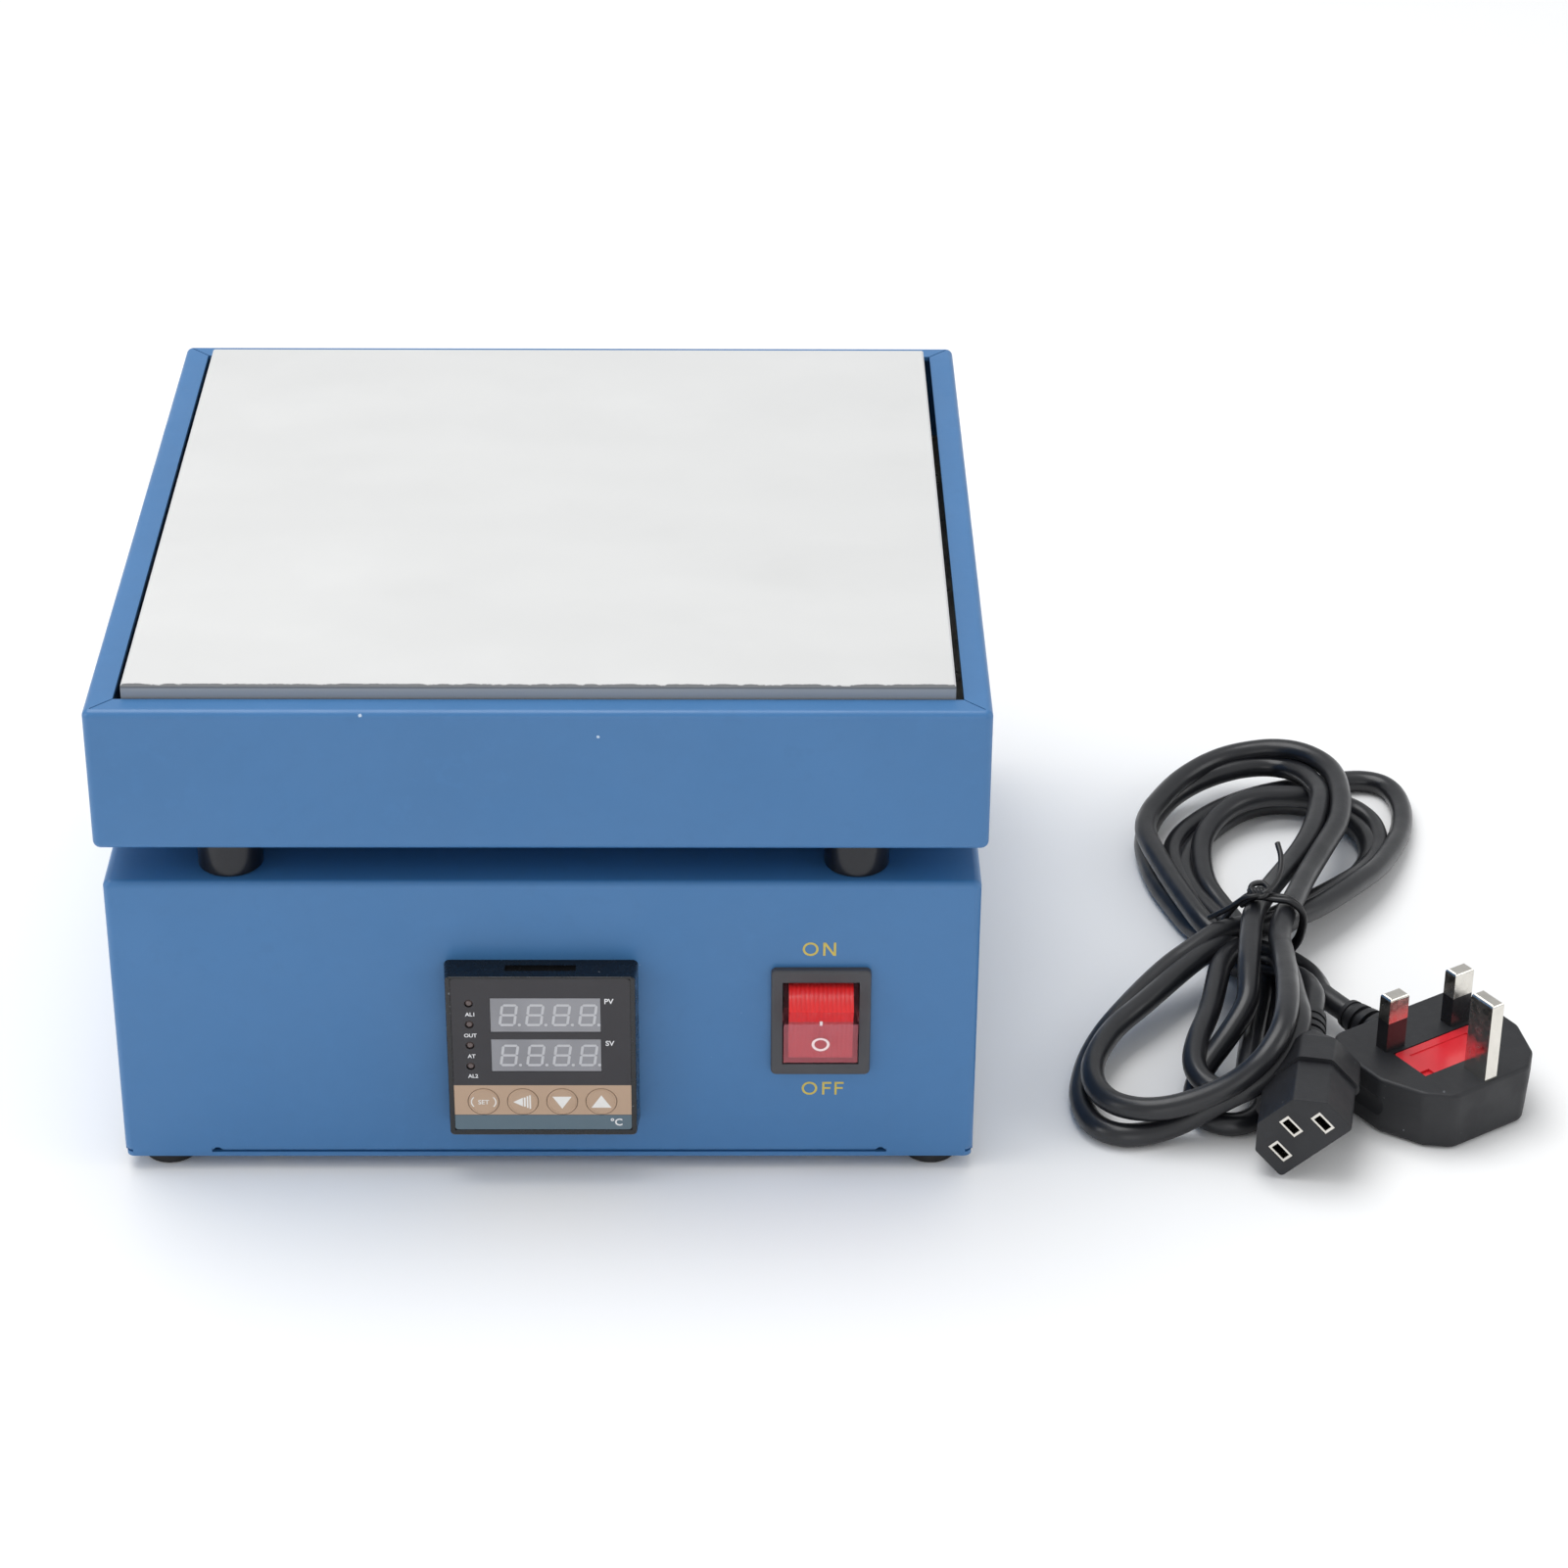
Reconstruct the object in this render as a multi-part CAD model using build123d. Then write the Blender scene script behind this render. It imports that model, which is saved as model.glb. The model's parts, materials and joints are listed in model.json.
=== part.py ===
"""Laboratory hot plate: a folded steel base with its controller, a raised cover and an aluminium heating plate.

Millimetres, Z up. The floor is at z = 0 and the origin is below the middle of the object.
"""
from build123d import *
import math
import os

# Sheet steel and general clearances
sheet = 1.2
bend_r = 1.8
corner_r = 2.0
slide_gap = 0.2
screw_gap = 0.2

# Heating plate
plate_w = 200.0
plate_t = 18.0
plate_gap = 2.0
plate_proud = 3.6
plate_slip = 1.5
plate_edge = 0.5
cartridge_d = 9.8
cartridge_pitch = 60.0
cartridge_len = 170.0
bore_gap = 0.1
probe_d = 4.8
probe_x = 30.0
probe_len = 90.0
pillar_d = 12.0
pillar_inset = 26.0
plate_screw_d = 5.0
board_inset = 12.0
board_t = 18.0

# Upper cover and its tray
cover_lip = 6.75
cover_h = 38.0
lower_rim = 24.0
mitre_slit = 0.3
tray_rim = 10.0

# Standoffs between base and cover
standoff_d = 16.0
standoff_h = 10.0
standoff_inset_x = 30.5
standoff_inset_y = 10.5
standoff_screw_d = 4.0

# Base
base_inset = 1.25
base_h = 81.0
base_rim = 12.0
relief_inset = 23.5
relief_w = 3.0
relief_h = 1.6
base_screw_d = 3.0
base_screw_l = 5.0
base_screw_head = 1.6
base_screw_corner = 37.5
base_screw_edge = 6.5
vent_w = 3.0
vent_h = 26.0
vent_pitch = 8.0
vent_count = 7
vent_z = 48.0
grommet_inset = 11.5
grommet_d = 15.0
grommet_bore = 11.6

# Feet
foot_h = 4.0
foot_d = 14.0
foot_inset_x = 10.5
foot_inset_y = 9.5
foot_stud_d = 3.0

# Controller, a 48 by 48 panel instrument
controller_x = -0.9
controller_up = 34.9
bezel_lip = 1.7
bezel_taper = 0.6
bezel_proud = 7.25
catch_w = 17.5
catch_d = 2.4
facia_side = 1.3
facia_end = 1.1
facia_up = 0.6
facia_t = 0.6
facia_seat = 0.7
window_left = 9.55
window_right = 7.25
process_window_h = 10.0
process_window_drop = 10.6
set_window_h = 9.6
set_window_drop = 22.45
lamp_inset = 4.4
lamp_drop = 7.2
lamp_pitch = 6.15
lamp_d = 2.0
key_d = 7.6
key_gap = 0.15
key_left = 7.3
key_right = 7.5
key_rise = 8.4
key_proud = 0.2
key_t = 2.1
key_travel = 0.5
case_w = 44.6
case_wall = 1.5
case_deep = 98.0
board_thick = 1.6
terminal_deep = 15.6
terminal_pitch = 6.4
terminal_row = 12.0
terminal_d = 4.8
transformer = (20.0, 18.0, 22.0)
tact_w = 6.0
tact_d = 3.4
clamp_wall = 3.7
clamp_t = 7.0
clamp_lug_w = 7.0
clamp_lug_l = 10.0
clamp_screw_d = 3.0

# Rocker switch
switch_inset = 39.1
switch_up = 41.4
switch_proud = 2.0
switch_mouth_w = 19.1
switch_mouth_h = 24.1
switch_side_w = 2.85
switch_end_w = 3.3
switch_wall_w = 1.35
switch_wall_h = 1.95
switch_deep = 20.0
rocker_end = 0.15
rocker_gap = 0.3
rocker_mid = 5.0
rocker_hollow_r = 24.7
rocker_tilt = 20.0
pivot_back = 3.1
pivot_d = 3.0
pivot_gap = 0.05
lens_wall = 1.0
lens_side = 1.2

# Mains inlet on the rear wall
inlet_inset = 47.5
inlet_up = 28.0
inlet_ear = 5.0
inlet_rim = 3.6
inlet_proud = 2.5
inlet_slip_w = 0.3
inlet_slip_h = 0.4
inlet_wall = 1.5
inlet_deep = 17.0
inlet_cut_gap = 0.2
inlet_screw_pitch = 40.0
inlet_screw_d = 3.0
inlet_screw_l = 8.0
inlet_screw_head = 1.6
inlet_pin = (2.0, 4.0, 20.0)
inlet_pin_back = 8.0
pin_pitch = 14.0
earth_rise = 4.0

# Parts inside the base
relay_inset = (49.5, 77.5)
relay_w = 45.0
relay_l = 58.0
relay_h = 22.0
block_w = 44.0
block_l = 20.0
block_h = 16.0
block_inset = 45.5
stud_inset = (23.5, 67.5)
stud_d = 4.0
stud_l = 12.0
supply_d = 6.0
switched_d = 5.0
control_d = 4.0
relay_lead_d = 3.6
heater_lead_d = 3.2
sensor_lead_d = 2.4

# Mains lead, lying on the floor
cord_d = 6.2
connector_place = (188.6, -110.2)
connector_turn = -11.0
connector_roll = 44.7
nose_w = 24.0
nose_h = 16.0
nose_chamfer = 6.0
nose_len = 18.0
grip_grow = 0.9
grip_len = 20.0
relief_len = 16.0
relief_ribs = 4
plug_place = (226.6, -67.6)
plug_turn = 33.0
plug_t = 17.0
plug_back = 12.4
plug_relief_len = 16.0
plug_pin_pitch = 22.2
earth_pin_out = 22.2
line_pin = (6.35, 3.97, 16.0)
earth_pin = (3.97, 7.92, 22.7)
sleeve_len = 8.6
carrier_w = 26.0
carrier_h = 12.6
carrier_v = 9.6
carrier_t = 9.0
fuse_d = 6.3
fuse_len = 20.0
bundle_h = 25.0
tie_place = (195.0, 2.0)

# Places that follow from the sizes
mouth_w = plate_w + 2 * plate_gap
cover_w = mouth_w + 2 * cover_lip
base_w = cover_w - 2 * base_inset
board_w = plate_w - 2 * board_inset
pillar_place = plate_w / 2 - pillar_inset
standoff_x = base_w / 2 - standoff_inset_x
standoff_y = base_w / 2 - standoff_inset_y
relief_x = base_w / 2 - relief_inset
base_screw_near = base_w / 2 - base_screw_corner
base_screw_far = base_w / 2 - base_screw_edge
grommet_y = base_w / 2 - grommet_inset
foot_x = base_w / 2 - foot_inset_x
foot_y = base_w / 2 - foot_inset_y
bezel_w = case_w + 2 * bezel_lip
bezel_front_w = bezel_w - 2 * bezel_taper
facia_w = bezel_front_w - 2 * facia_side
facia_h = bezel_front_w - 2 * facia_end
facia_top = facia_up + facia_h / 2
process_window_up = facia_top - process_window_drop
set_window_up = facia_top - set_window_drop
lamp_top = facia_top - lamp_drop
key_up = facia_up - facia_h / 2 + key_rise
window_w = facia_w - window_left - window_right
window_x = (window_left - window_right) / 2
lamp_x = lamp_inset - facia_w / 2
key_first_x = key_left - facia_w / 2
key_pitch = (facia_w - key_left - key_right) / 3
board_side = case_w - 2 * case_wall - 2 * slide_gap
clamp_w = case_w + 2 * clamp_wall
clamp_lug_x = clamp_w / 2 + clamp_lug_w / 2 - 1
clamp_lug_y = clamp_w * 0.3
switch_x = base_w / 2 - switch_inset
switch_w = switch_mouth_w + 2 * switch_side_w
switch_h = switch_mouth_h + 2 * switch_end_w
switch_body_w = switch_mouth_w + 2 * switch_wall_w
switch_body_h = switch_mouth_h + 2 * switch_wall_h
rocker_r = switch_mouth_h / 2 - rocker_end
inlet_x = base_w / 2 - inlet_inset
inlet_mouth_w = nose_w + 2 * inlet_slip_w
inlet_mouth_h = nose_h + 2 * inlet_slip_h
inlet_back_w = inlet_mouth_w + 2 * inlet_wall
inlet_back_h = inlet_mouth_h + 2 * inlet_wall
inlet_flange_w = inlet_screw_pitch + 2 * inlet_ear
inlet_flange_h = inlet_mouth_h + 2 * inlet_rim
relay_place = (relay_inset[0] - base_w / 2, base_w / 2 - relay_inset[1])
block_y = base_w / 2 - block_inset
stud_place = (base_w / 2 - stud_inset[0], base_w / 2 - stud_inset[1])
shift_y = (bezel_proud - inlet_proud) / 2
body = Pos(0, shift_y, 0)
floor = Pos(0, 0, 0)
base_z = foot_h
deck_z = base_z + base_h
cover_z = deck_z + standoff_h
cover_top = cover_z + cover_h
plate_top = cover_top + plate_proud
plate_z = plate_top - plate_t
tray_z = cover_z + sheet
tray_top = tray_z + sheet
shell_z = base_z + sheet
controller_z = base_z + controller_up
switch_z = base_z + switch_up
inlet_z = base_z + inlet_up
pivot_z = switch_proud - pivot_back
rear_lead_y = grommet_y + 6.5
corners = [(sx, sy) for sx in (-1, 1) for sy in (-1, 1)]


def save(node, shape, where=body):
    """Write one node as a STEP file, in the object's own frame."""
    export_step(where * shape, f"parts/{node}.step")


def block(x0, x1, y0, y1, z0, z1):
    """A box from its two corners."""
    middle = Pos((x0 + x1) / 2, (y0 + y1) / 2, (z0 + z1) / 2)
    return middle * Box(x1 - x0, y1 - y0, z1 - z0)


def post(x, y, z0, z1, d):
    """An upright cylinder between two heights."""
    return Pos(x, y, (z0 + z1) / 2) * Cylinder(d / 2, z1 - z0)


def group(shapes):
    """Separate solids kept as one node."""
    return Compound([solid for shape in shapes for solid in shape.solids()])


def pan_screw(x, y, z, shank_d, shank_up, head_h):
    """A pan-head screw pointing up, with the underside of its head at z."""
    head = post(x, y, z - head_h, z, shank_d * 1.8)
    head = chamfer(head.edges().group_by(Axis.Z)[0], head_h * 0.4)
    slot = block(x - shank_d, x + shank_d, y - shank_d * 0.12, y + shank_d * 0.12, z - head_h, z - head_h * 0.55)
    return head - slot + post(x, y, z - head_h * 0.5, z + shank_up, shank_d)


def hex_nut(x, y, z, bore, tall):
    """A hexagon nut standing on z."""
    across = bore * 1.75
    nut = Pos(x, y, z) * extrude(RegularPolygon(across / math.sqrt(3), 6), tall)
    return nut - post(x, y, z - 1, z + tall + 1, bore + screw_gap)


def folded_box(width, height, z):
    """A closed sheet box with bent edges, standing on z."""
    def rounded(w, h, upright, flat):
        solid = Pos(0, 0, z + height / 2) * Box(w, w, h)
        solid = fillet(solid.edges().filter_by(Axis.Z), upright)
        ends = solid.edges().group_by(Axis.Z)
        return fillet(ends[0] + ends[-1], flat)
    inner = rounded(width - 2 * sheet, height - 2 * sheet, corner_r - sheet, bend_r - sheet)
    return rounded(width, height, corner_r, bend_r) - inner


def panel(x, z):
    """The front wall's outer face: local x right, y up, z towards the user."""
    return Plane(origin=(x, -base_w / 2, z), x_dir=(1, 0, 0), z_dir=(0, -1, 0))


def rear_panel(x, z):
    """The rear wall's outer face: local z away from the object."""
    return Plane(origin=(x, base_w / 2, z), x_dir=(-1, 0, 0), z_dir=(0, 1, 0))


def tube(points, radii, d):
    """A round tube along straight runs joined by tangent arcs."""
    line = FilletPolyline(*points, radius=radii)
    start = Plane(origin=line @ 0, z_dir=line % 0)
    return sweep(start * Circle(d / 2), path=line)


# Heating plate

def heating_plate():
    plate = Pos(0, -plate_slip, 0) * block(
        -plate_w / 2, plate_w / 2, -plate_w / 2, plate_w / 2, plate_z, plate_top)
    plate = chamfer(plate.edges().group_by(Axis.Z)[-1], plate_edge)
    rear = plate_w / 2 - plate_slip
    bores = [Pos(x, rear - cartridge_len / 2, plate_z + plate_t / 2) * Rot(90, 0, 0)
             * Cylinder(cartridge_d / 2 + bore_gap, cartridge_len) for x in cartridge_places()]
    bores.append(Pos(probe_x, rear - probe_len / 2, plate_z + plate_t / 2) * Rot(90, 0, 0)
                 * Cylinder(probe_d / 2 + bore_gap, probe_len))
    bores += [post(sx * pillar_place, sy * pillar_place - plate_slip, plate_z, plate_z + plate_t * 0.55,
                   plate_screw_d + screw_gap) for sx, sy in corners]
    return plate - bores


def cartridge_places():
    return [-cartridge_pitch, 0.0, cartridge_pitch]


def heater_cartridges():
    rear = plate_w / 2 - plate_slip
    out = []
    for x in cartridge_places():
        rod = Pos(x, rear + 1 - cartridge_len / 2, plate_z + plate_t / 2) * Rot(90, 0, 0) \
            * Cylinder(cartridge_d / 2, cartridge_len - 0.4)
        out.append(chamfer(rod.edges().group_by(Axis.Y)[0], 0.8))
    return group(out)


def thermocouple_probe():
    rear = plate_w / 2 - plate_slip
    z = plate_z + plate_t / 2
    rod = Pos(probe_x, rear + 1 - probe_len / 2, z) * Rot(90, 0, 0) * Cylinder(probe_d / 2, probe_len - 0.6)
    return chamfer(rod.edges().group_by(Axis.Y)[0], probe_d * 0.3)


def plate_pillars():
    pillars = []
    for sx, sy in corners:
        x, y = sx * pillar_place, sy * pillar_place - plate_slip
        pillars.append(post(x, y, tray_top, plate_z, pillar_d)
                       - post(x, y, tray_top - 1, plate_z + 1, plate_screw_d + screw_gap))
    return group(pillars)


def plate_screws():
    reach = plate_z + plate_t * 0.45 - tray_z
    return group([pan_screw(sx * pillar_place, sy * pillar_place - plate_slip, tray_z, plate_screw_d, reach, 2.8)
                  for sx, sy in corners])


def insulation_board():
    half = board_w / 2
    board = Pos(0, -plate_slip, 0) * block(-half, half, -half, half, tray_top, tray_top + board_t)
    return board - [post(sx * pillar_place, sy * pillar_place - plate_slip, tray_top - 1, tray_top + board_t + 1,
                         pillar_d + 1) for sx, sy in corners]


# Upper cover

def standoff_holes(z0, z1):
    return [post(sx * standoff_x, sy * standoff_y, z0, z1, standoff_screw_d + screw_gap * 2) for sx, sy in corners]


def upper_cover():
    cover = folded_box(cover_w, cover_h, cover_z)
    half = mouth_w / 2
    cover -= block(-half, half, -half, half, cover_top - sheet - 1, cover_top + 1)
    low = cover_w / 2 - lower_rim
    cover -= block(-low, low, -low, low, cover_z - 1, cover_z + sheet + 1)
    near, far = half * math.sqrt(2) - 1, (cover_w / 2 - sheet) * math.sqrt(2) - 1
    slits = [Rot(0, 0, 45 + 90 * i) * block(near, far, -mitre_slit / 2, mitre_slit / 2,
                                            cover_top - sheet - 0.2, cover_top + 1) for i in range(4)]
    holes = standoff_holes(cover_z - 1, cover_z + sheet + 0.5)
    holes.append(post(0, grommet_y, cover_z - 1, cover_z + sheet + 0.5, grommet_d))
    return cover - slits - holes


def cover_tray():
    half = cover_w / 2 - sheet - slide_gap
    tray = block(-half, half, -half, half, tray_z, tray_z + tray_rim)
    tray = fillet(tray.edges().filter_by(Axis.Z), corner_r)
    tray = fillet(tray.edges().group_by(Axis.Z)[0], 1.0)
    inner = half - sheet
    tray -= block(-inner, inner, -inner, inner, tray_top, tray_z + tray_rim + 1)
    holes = standoff_holes(tray_z - 1, tray_top + 1)
    holes.append(post(0, grommet_y, tray_z - 1, tray_top + 1, grommet_d))
    holes += [post(sx * pillar_place, sy * pillar_place - plate_slip, tray_z - 1, tray_top + 1,
                   plate_screw_d + screw_gap * 2) for sx, sy in corners]
    return tray - holes


# Standoffs

def standoffs():
    out = []
    for sx, sy in corners:
        x, y = sx * standoff_x, sy * standoff_y
        leg = post(x, y, deck_z, cover_z, standoff_d)
        leg = chamfer(leg.edges(), 0.4)
        out.append(leg - post(x, y, deck_z - 1, cover_z + 1, standoff_screw_d + screw_gap * 2))
    return group(out)


def standoff_screws():
    z = deck_z - sheet
    reach = tray_top + 4.4 - z
    return group([pan_screw(sx * standoff_x, sy * standoff_y, z, standoff_screw_d, reach, 2.4) for sx, sy in corners])


def standoff_nuts():
    return group([hex_nut(sx * standoff_x, sy * standoff_y, tray_top, standoff_screw_d, 3.2) for sx, sy in corners])


# Base

def vent_rows(face, across):
    """Upright slots cut through a wall, centred at vent_z."""
    cuts = []
    for i in range(vent_count):
        x = across + (i - (vent_count - 1) / 2) * vent_pitch
        cuts.append(face * (Pos(x, vent_z, 0) * extrude(SlotOverall(vent_h, vent_w, rotation=90), 3, both=True)))
    return cuts


def base_shell():
    height = base_h - sheet
    shell = folded_box(base_w, height, shell_z)
    low = base_w / 2 - base_rim
    shell -= block(-low, low, -low, low, shell_z - 1, shell_z + sheet + 1)
    half = base_w / 2
    for quarter in range(4):
        turn = Rot(0, 0, 90 * quarter)
        for side in (-1, 1):
            run = sorted((side * (relief_x + relief_w / 2), side * (half - corner_r)))
            shell += turn * block(run[0], run[1], -half, -half + sheet, shell_z, shell_z + 2 * bend_r)
            notch = Plane(origin=(side * relief_x, -half, shell_z), x_dir=(1, 0, 0), z_dir=(0, -1, 0))
            cut = Polygon((-relief_w / 2, -1), (relief_w / 2, -1), (relief_w / 2, relief_h / 4),
                          (relief_w / 6, relief_h), (-relief_w / 6, relief_h), (-relief_w / 2, relief_h / 4), align=None)
            shell -= turn * (notch * extrude(cut, -base_rim / 2))
    cuts = [panel(controller_x, controller_z) * Box(case_w + 0.6, case_w + 0.6, 6)]
    cuts.append(panel(switch_x, switch_z) * Box(switch_body_w + 0.4, switch_body_h + 0.4, 6))
    inlet = rear_panel(inlet_x, inlet_z)
    cuts.append(inlet * Box(inlet_back_w + 2 * inlet_cut_gap, inlet_back_h + 2 * inlet_cut_gap, 6))
    cuts += [inlet * (Pos(side * inlet_screw_pitch / 2, 0, 0) * Cylinder(inlet_screw_d / 2 + screw_gap, 6))
             for side in (-1, 1)]
    cuts += vent_rows(rear_panel(0, 0), base_w / 4)
    cuts += vent_rows(Plane(origin=(-half, 0, 0), x_dir=(0, -1, 0), z_dir=(-1, 0, 0)), 0)
    cuts += vent_rows(Plane(origin=(half, 0, 0), x_dir=(0, 1, 0), z_dir=(1, 0, 0)), 0)
    cuts += standoff_holes(deck_z - 3, deck_z + 1)
    cuts.append(post(0, grommet_y, deck_z - 3, deck_z + 1, grommet_d))
    cuts += [post(x, y, shell_z - 1, shell_z + sheet + 0.5, base_screw_d) for x, y in base_screw_places()]
    cuts += [post(sx * foot_x, sy * foot_y, shell_z - 1, shell_z + sheet + 0.5, foot_stud_d + screw_gap * 2)
             for sx, sy in corners]
    return shell - cuts


def base_screw_places():
    near, far = base_screw_near, base_screw_far
    return [(sx * near, sy * far) for sx, sy in corners] + [(sx * far, sy * near) for sx, sy in corners]


def base_plate():
    half = base_w / 2 - 0.3
    plate = block(-half, half, -half, half, base_z, shell_z)
    plate = fillet(plate.edges().filter_by(Axis.Z), corner_r)
    cuts = [post(x, y, base_z - 1, shell_z + 1, base_screw_d + screw_gap * 2) for x, y in base_screw_places()]
    cuts += [post(sx * foot_x, sy * foot_y, base_z - 1, shell_z + 1, foot_stud_d + screw_gap * 2)
             for sx, sy in corners]
    for i in range(vent_count):
        x = (i - (vent_count - 1) / 2) * vent_pitch
        cuts.append(Pos(x, -vent_z, base_z) * extrude(SlotOverall(vent_h, vent_w, rotation=90), 3, both=True))
    return plate - cuts


def base_screws():
    return group([pan_screw(x, y, base_z, base_screw_d - screw_gap, base_screw_l, base_screw_head)
                  for x, y in base_screw_places()])


def feet():
    out = []
    for sx, sy in corners:
        x, y = sx * foot_x, sy * foot_y
        foot = post(x, y, 0, foot_h, foot_d)
        foot = fillet(foot.edges().group_by(Axis.Z)[0], 0.8)
        out.append(foot - post(x, y, foot_h * 0.4, foot_h + 1, foot_stud_d + screw_gap))
    return group(out)


def foot_studs():
    out = []
    for sx, sy in corners:
        x, y = sx * foot_x, sy * foot_y
        top = shell_z + sheet
        out.append(post(x, y, foot_h * 0.4 + 0.1, top + 3.6, foot_stud_d))
        out.append(hex_nut(x, y, top, foot_stud_d, 2.4))
    return group(out)


def deck_grommet():
    """A rubber ring whose groove grips the deck's edge."""
    lip = post(0, grommet_y, deck_z, deck_z + 1.6, grommet_d + 4) + post(
        0, grommet_y, deck_z - sheet - 1.6, deck_z - sheet, grommet_d + 4)
    ring = lip + post(0, grommet_y, deck_z - sheet - 1.6, deck_z + 1.6, grommet_d - 0.2)
    return ring - post(0, grommet_y, deck_z - 10, deck_z + 10, grommet_bore)


# Controller

def key_places():
    return [(key_first_x + i * key_pitch, key_up) for i in range(4)]


def lamp_places():
    return [(lamp_x, lamp_top - i * lamp_pitch) for i in range(4)]


def controller_bezel():
    outline = loft([RectangleRounded(bezel_w, bezel_w, 1.4),
                    Pos(0, 0, bezel_proud) * RectangleRounded(bezel_front_w, bezel_front_w, 1.2)])
    outline = fillet(outline.edges().group_by(Axis.Z)[-1], 0.5)
    seat = Pos(0, facia_up, bezel_proud) * Box(facia_w + slide_gap, facia_h + slide_gap, 2 * facia_seat)
    inside = board_side - slide_gap
    catch = Pos(0, bezel_w / 2, bezel_proud * 0.47) * Box(catch_w, catch_d, catch_d)
    return outline - seat - Box(inside, inside, 4 * bezel_proud) - catch


def controller_facia():
    z = bezel_proud - facia_seat
    sheet_face = Pos(0, facia_up, z) * extrude(RectangleRounded(facia_w, facia_h, 0.8), facia_t)
    cuts = [Pos(x, y, z) * Cylinder(key_d / 2 + key_gap, 4) for x, y in key_places()]
    cuts += [Pos(x, y, z) * Cylinder(lamp_d / 2 + 0.1, 4) for x, y in lamp_places()]
    cuts += [Pos(window_x, up, z) * Box(window_w, tall, 4) for up, tall in window_places()]
    return sheet_face - cuts


def window_places():
    return [(process_window_up, process_window_h), (set_window_up, set_window_h)]


def display_windows():
    z = bezel_proud - facia_seat + facia_t - 0.1
    return group([Pos(window_x, up, z - 1) * Box(window_w - slide_gap, tall - slide_gap, 2)
                  for up, tall in window_places()])


def display_module():
    top = bezel_proud - facia_seat + facia_t - 2.2
    up = (process_window_up + set_window_up) / 2
    tall = process_window_up - set_window_up + process_window_h
    return Pos(window_x, up, top / 2) * Box(window_w + 0.6, tall, top)


def indicator_lamps():
    top = bezel_proud - facia_seat + facia_t - 0.1
    out = []
    for x, y in lamp_places():
        lamp = Pos(x, y, top / 2) * Cylinder(lamp_d / 2, top)
        out.append(chamfer(lamp.edges().group_by(Axis.Z)[-1], lamp_d * 0.2))
    return group(out)


def key(place):
    """One round key pad, a little proud of the facia."""
    top = bezel_proud - facia_seat + facia_t + key_proud
    pad = Pos(place[0], place[1], top - key_t / 2) * Cylinder(key_d / 2, key_t)
    return chamfer(pad.edges().group_by(Axis.Z)[-1], key_gap)


def key_switches():
    """Tact switches on the display board, one behind each key."""
    tip = bezel_proud - facia_seat + facia_t + key_proud - key_t - key_travel - 0.1
    return group([Pos(x, y, tip / 2 - 0.6) * Box(tact_w, tact_w, tip - 1.2)
                  + Pos(x, y, tip / 2) * Cylinder(tact_d / 2, tip)
                  for x, y in key_places()])


def display_board():
    return Pos(0, 0, -board_thick / 2) * Box(board_side, board_side, board_thick)


def controller_board():
    deep = case_deep - terminal_deep - board_thick - 2 * slide_gap
    low = -case_w * 0.135
    board = Pos(0, low, -board_thick - deep / 2) * Box(board_side, board_thick, deep)
    coil = Pos(-case_w * 0.18, low + (board_thick + transformer[1]) / 2, -board_thick - deep * 0.7) * Box(*transformer)
    return board + coil


def controller_case():
    case = Pos(0, 0, -case_deep / 2) * Box(case_w, case_w, case_deep)
    case = fillet(case.edges().filter_by(Axis.Z), 1.0)
    inside = case_w - 2 * case_wall
    case -= Pos(0, 0, -case_deep / 2) * Box(inside, inside, case_deep + 2)
    cuts = [Pos((i - 2.5) * case_w / 9, case_w / 2, -case_deep * 0.55) * Box(case_w / 25, 4 * case_wall, case_deep * 0.4)
            for i in range(6)]
    return case - cuts


def controller_terminals():
    middle = slide_gap + terminal_deep / 2 - case_deep
    body_block = Pos(0, 0, middle) * Box(board_side, board_side, terminal_deep)
    cuts = [Pos(x, y, -case_deep) * Cylinder(terminal_d / 2 + slide_gap, 8) for x, y in terminal_places()]
    return body_block - cuts


def terminal_places():
    return [(x, (i - 2.5) * terminal_pitch) for x in (-terminal_row, terminal_row) for i in range(6)]


def terminal_screws():
    screws = []
    for x, y in terminal_places():
        head = Pos(x, y, -case_deep + 3) * Cylinder(terminal_d / 2, 2)
        screws.append(head - Pos(x, y, -case_deep + 2) * Box(terminal_d * 0.8, terminal_d * 0.15, 1.2))
    return group(screws)


def controller_clamp():
    """The frame that slides on the case and draws the bezel against the wall."""
    z = -sheet - clamp_t / 2
    frame = Pos(0, 0, z) * Box(clamp_w, clamp_w, clamp_t)
    frame = fillet(frame.edges().filter_by(Axis.Z), 3.0)
    for side in (-1, 1):
        frame += Pos(side * clamp_lug_x, -side * clamp_lug_y, z) * Box(clamp_lug_w, clamp_lug_l, clamp_t)
    frame -= Pos(0, 0, z) * Box(case_w + 2 * slide_gap, case_w + 2 * slide_gap, 2 * clamp_t)
    return frame - [Pos(side * clamp_lug_x, -side * clamp_lug_y, z) * Cylinder(clamp_screw_d / 2 + 0.1, 2 * clamp_t)
                    for side in (-1, 1)]


def clamp_screws():
    out = []
    for side in (-1, 1):
        x, y = side * clamp_lug_x, -side * clamp_lug_y
        out.append(Pos(x, y, -sheet - clamp_t / 2 - 2) * Cylinder(clamp_screw_d / 2, clamp_t + 4)
                   + Pos(x, y, -sheet - clamp_t - 5) * Cylinder(clamp_screw_d * 0.9, clamp_screw_d * 0.8))
    return group(out)


# Rocker switch

def rocker_section(radius, middle, hollow, back):
    """The rocker from its side: a round heel about the pivot and a hollow face."""
    disc = Circle(radius) - Pos(0, middle + hollow) * Circle(hollow)
    return disc - Pos(0, back - 20) * Rectangle(60, 40)


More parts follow.
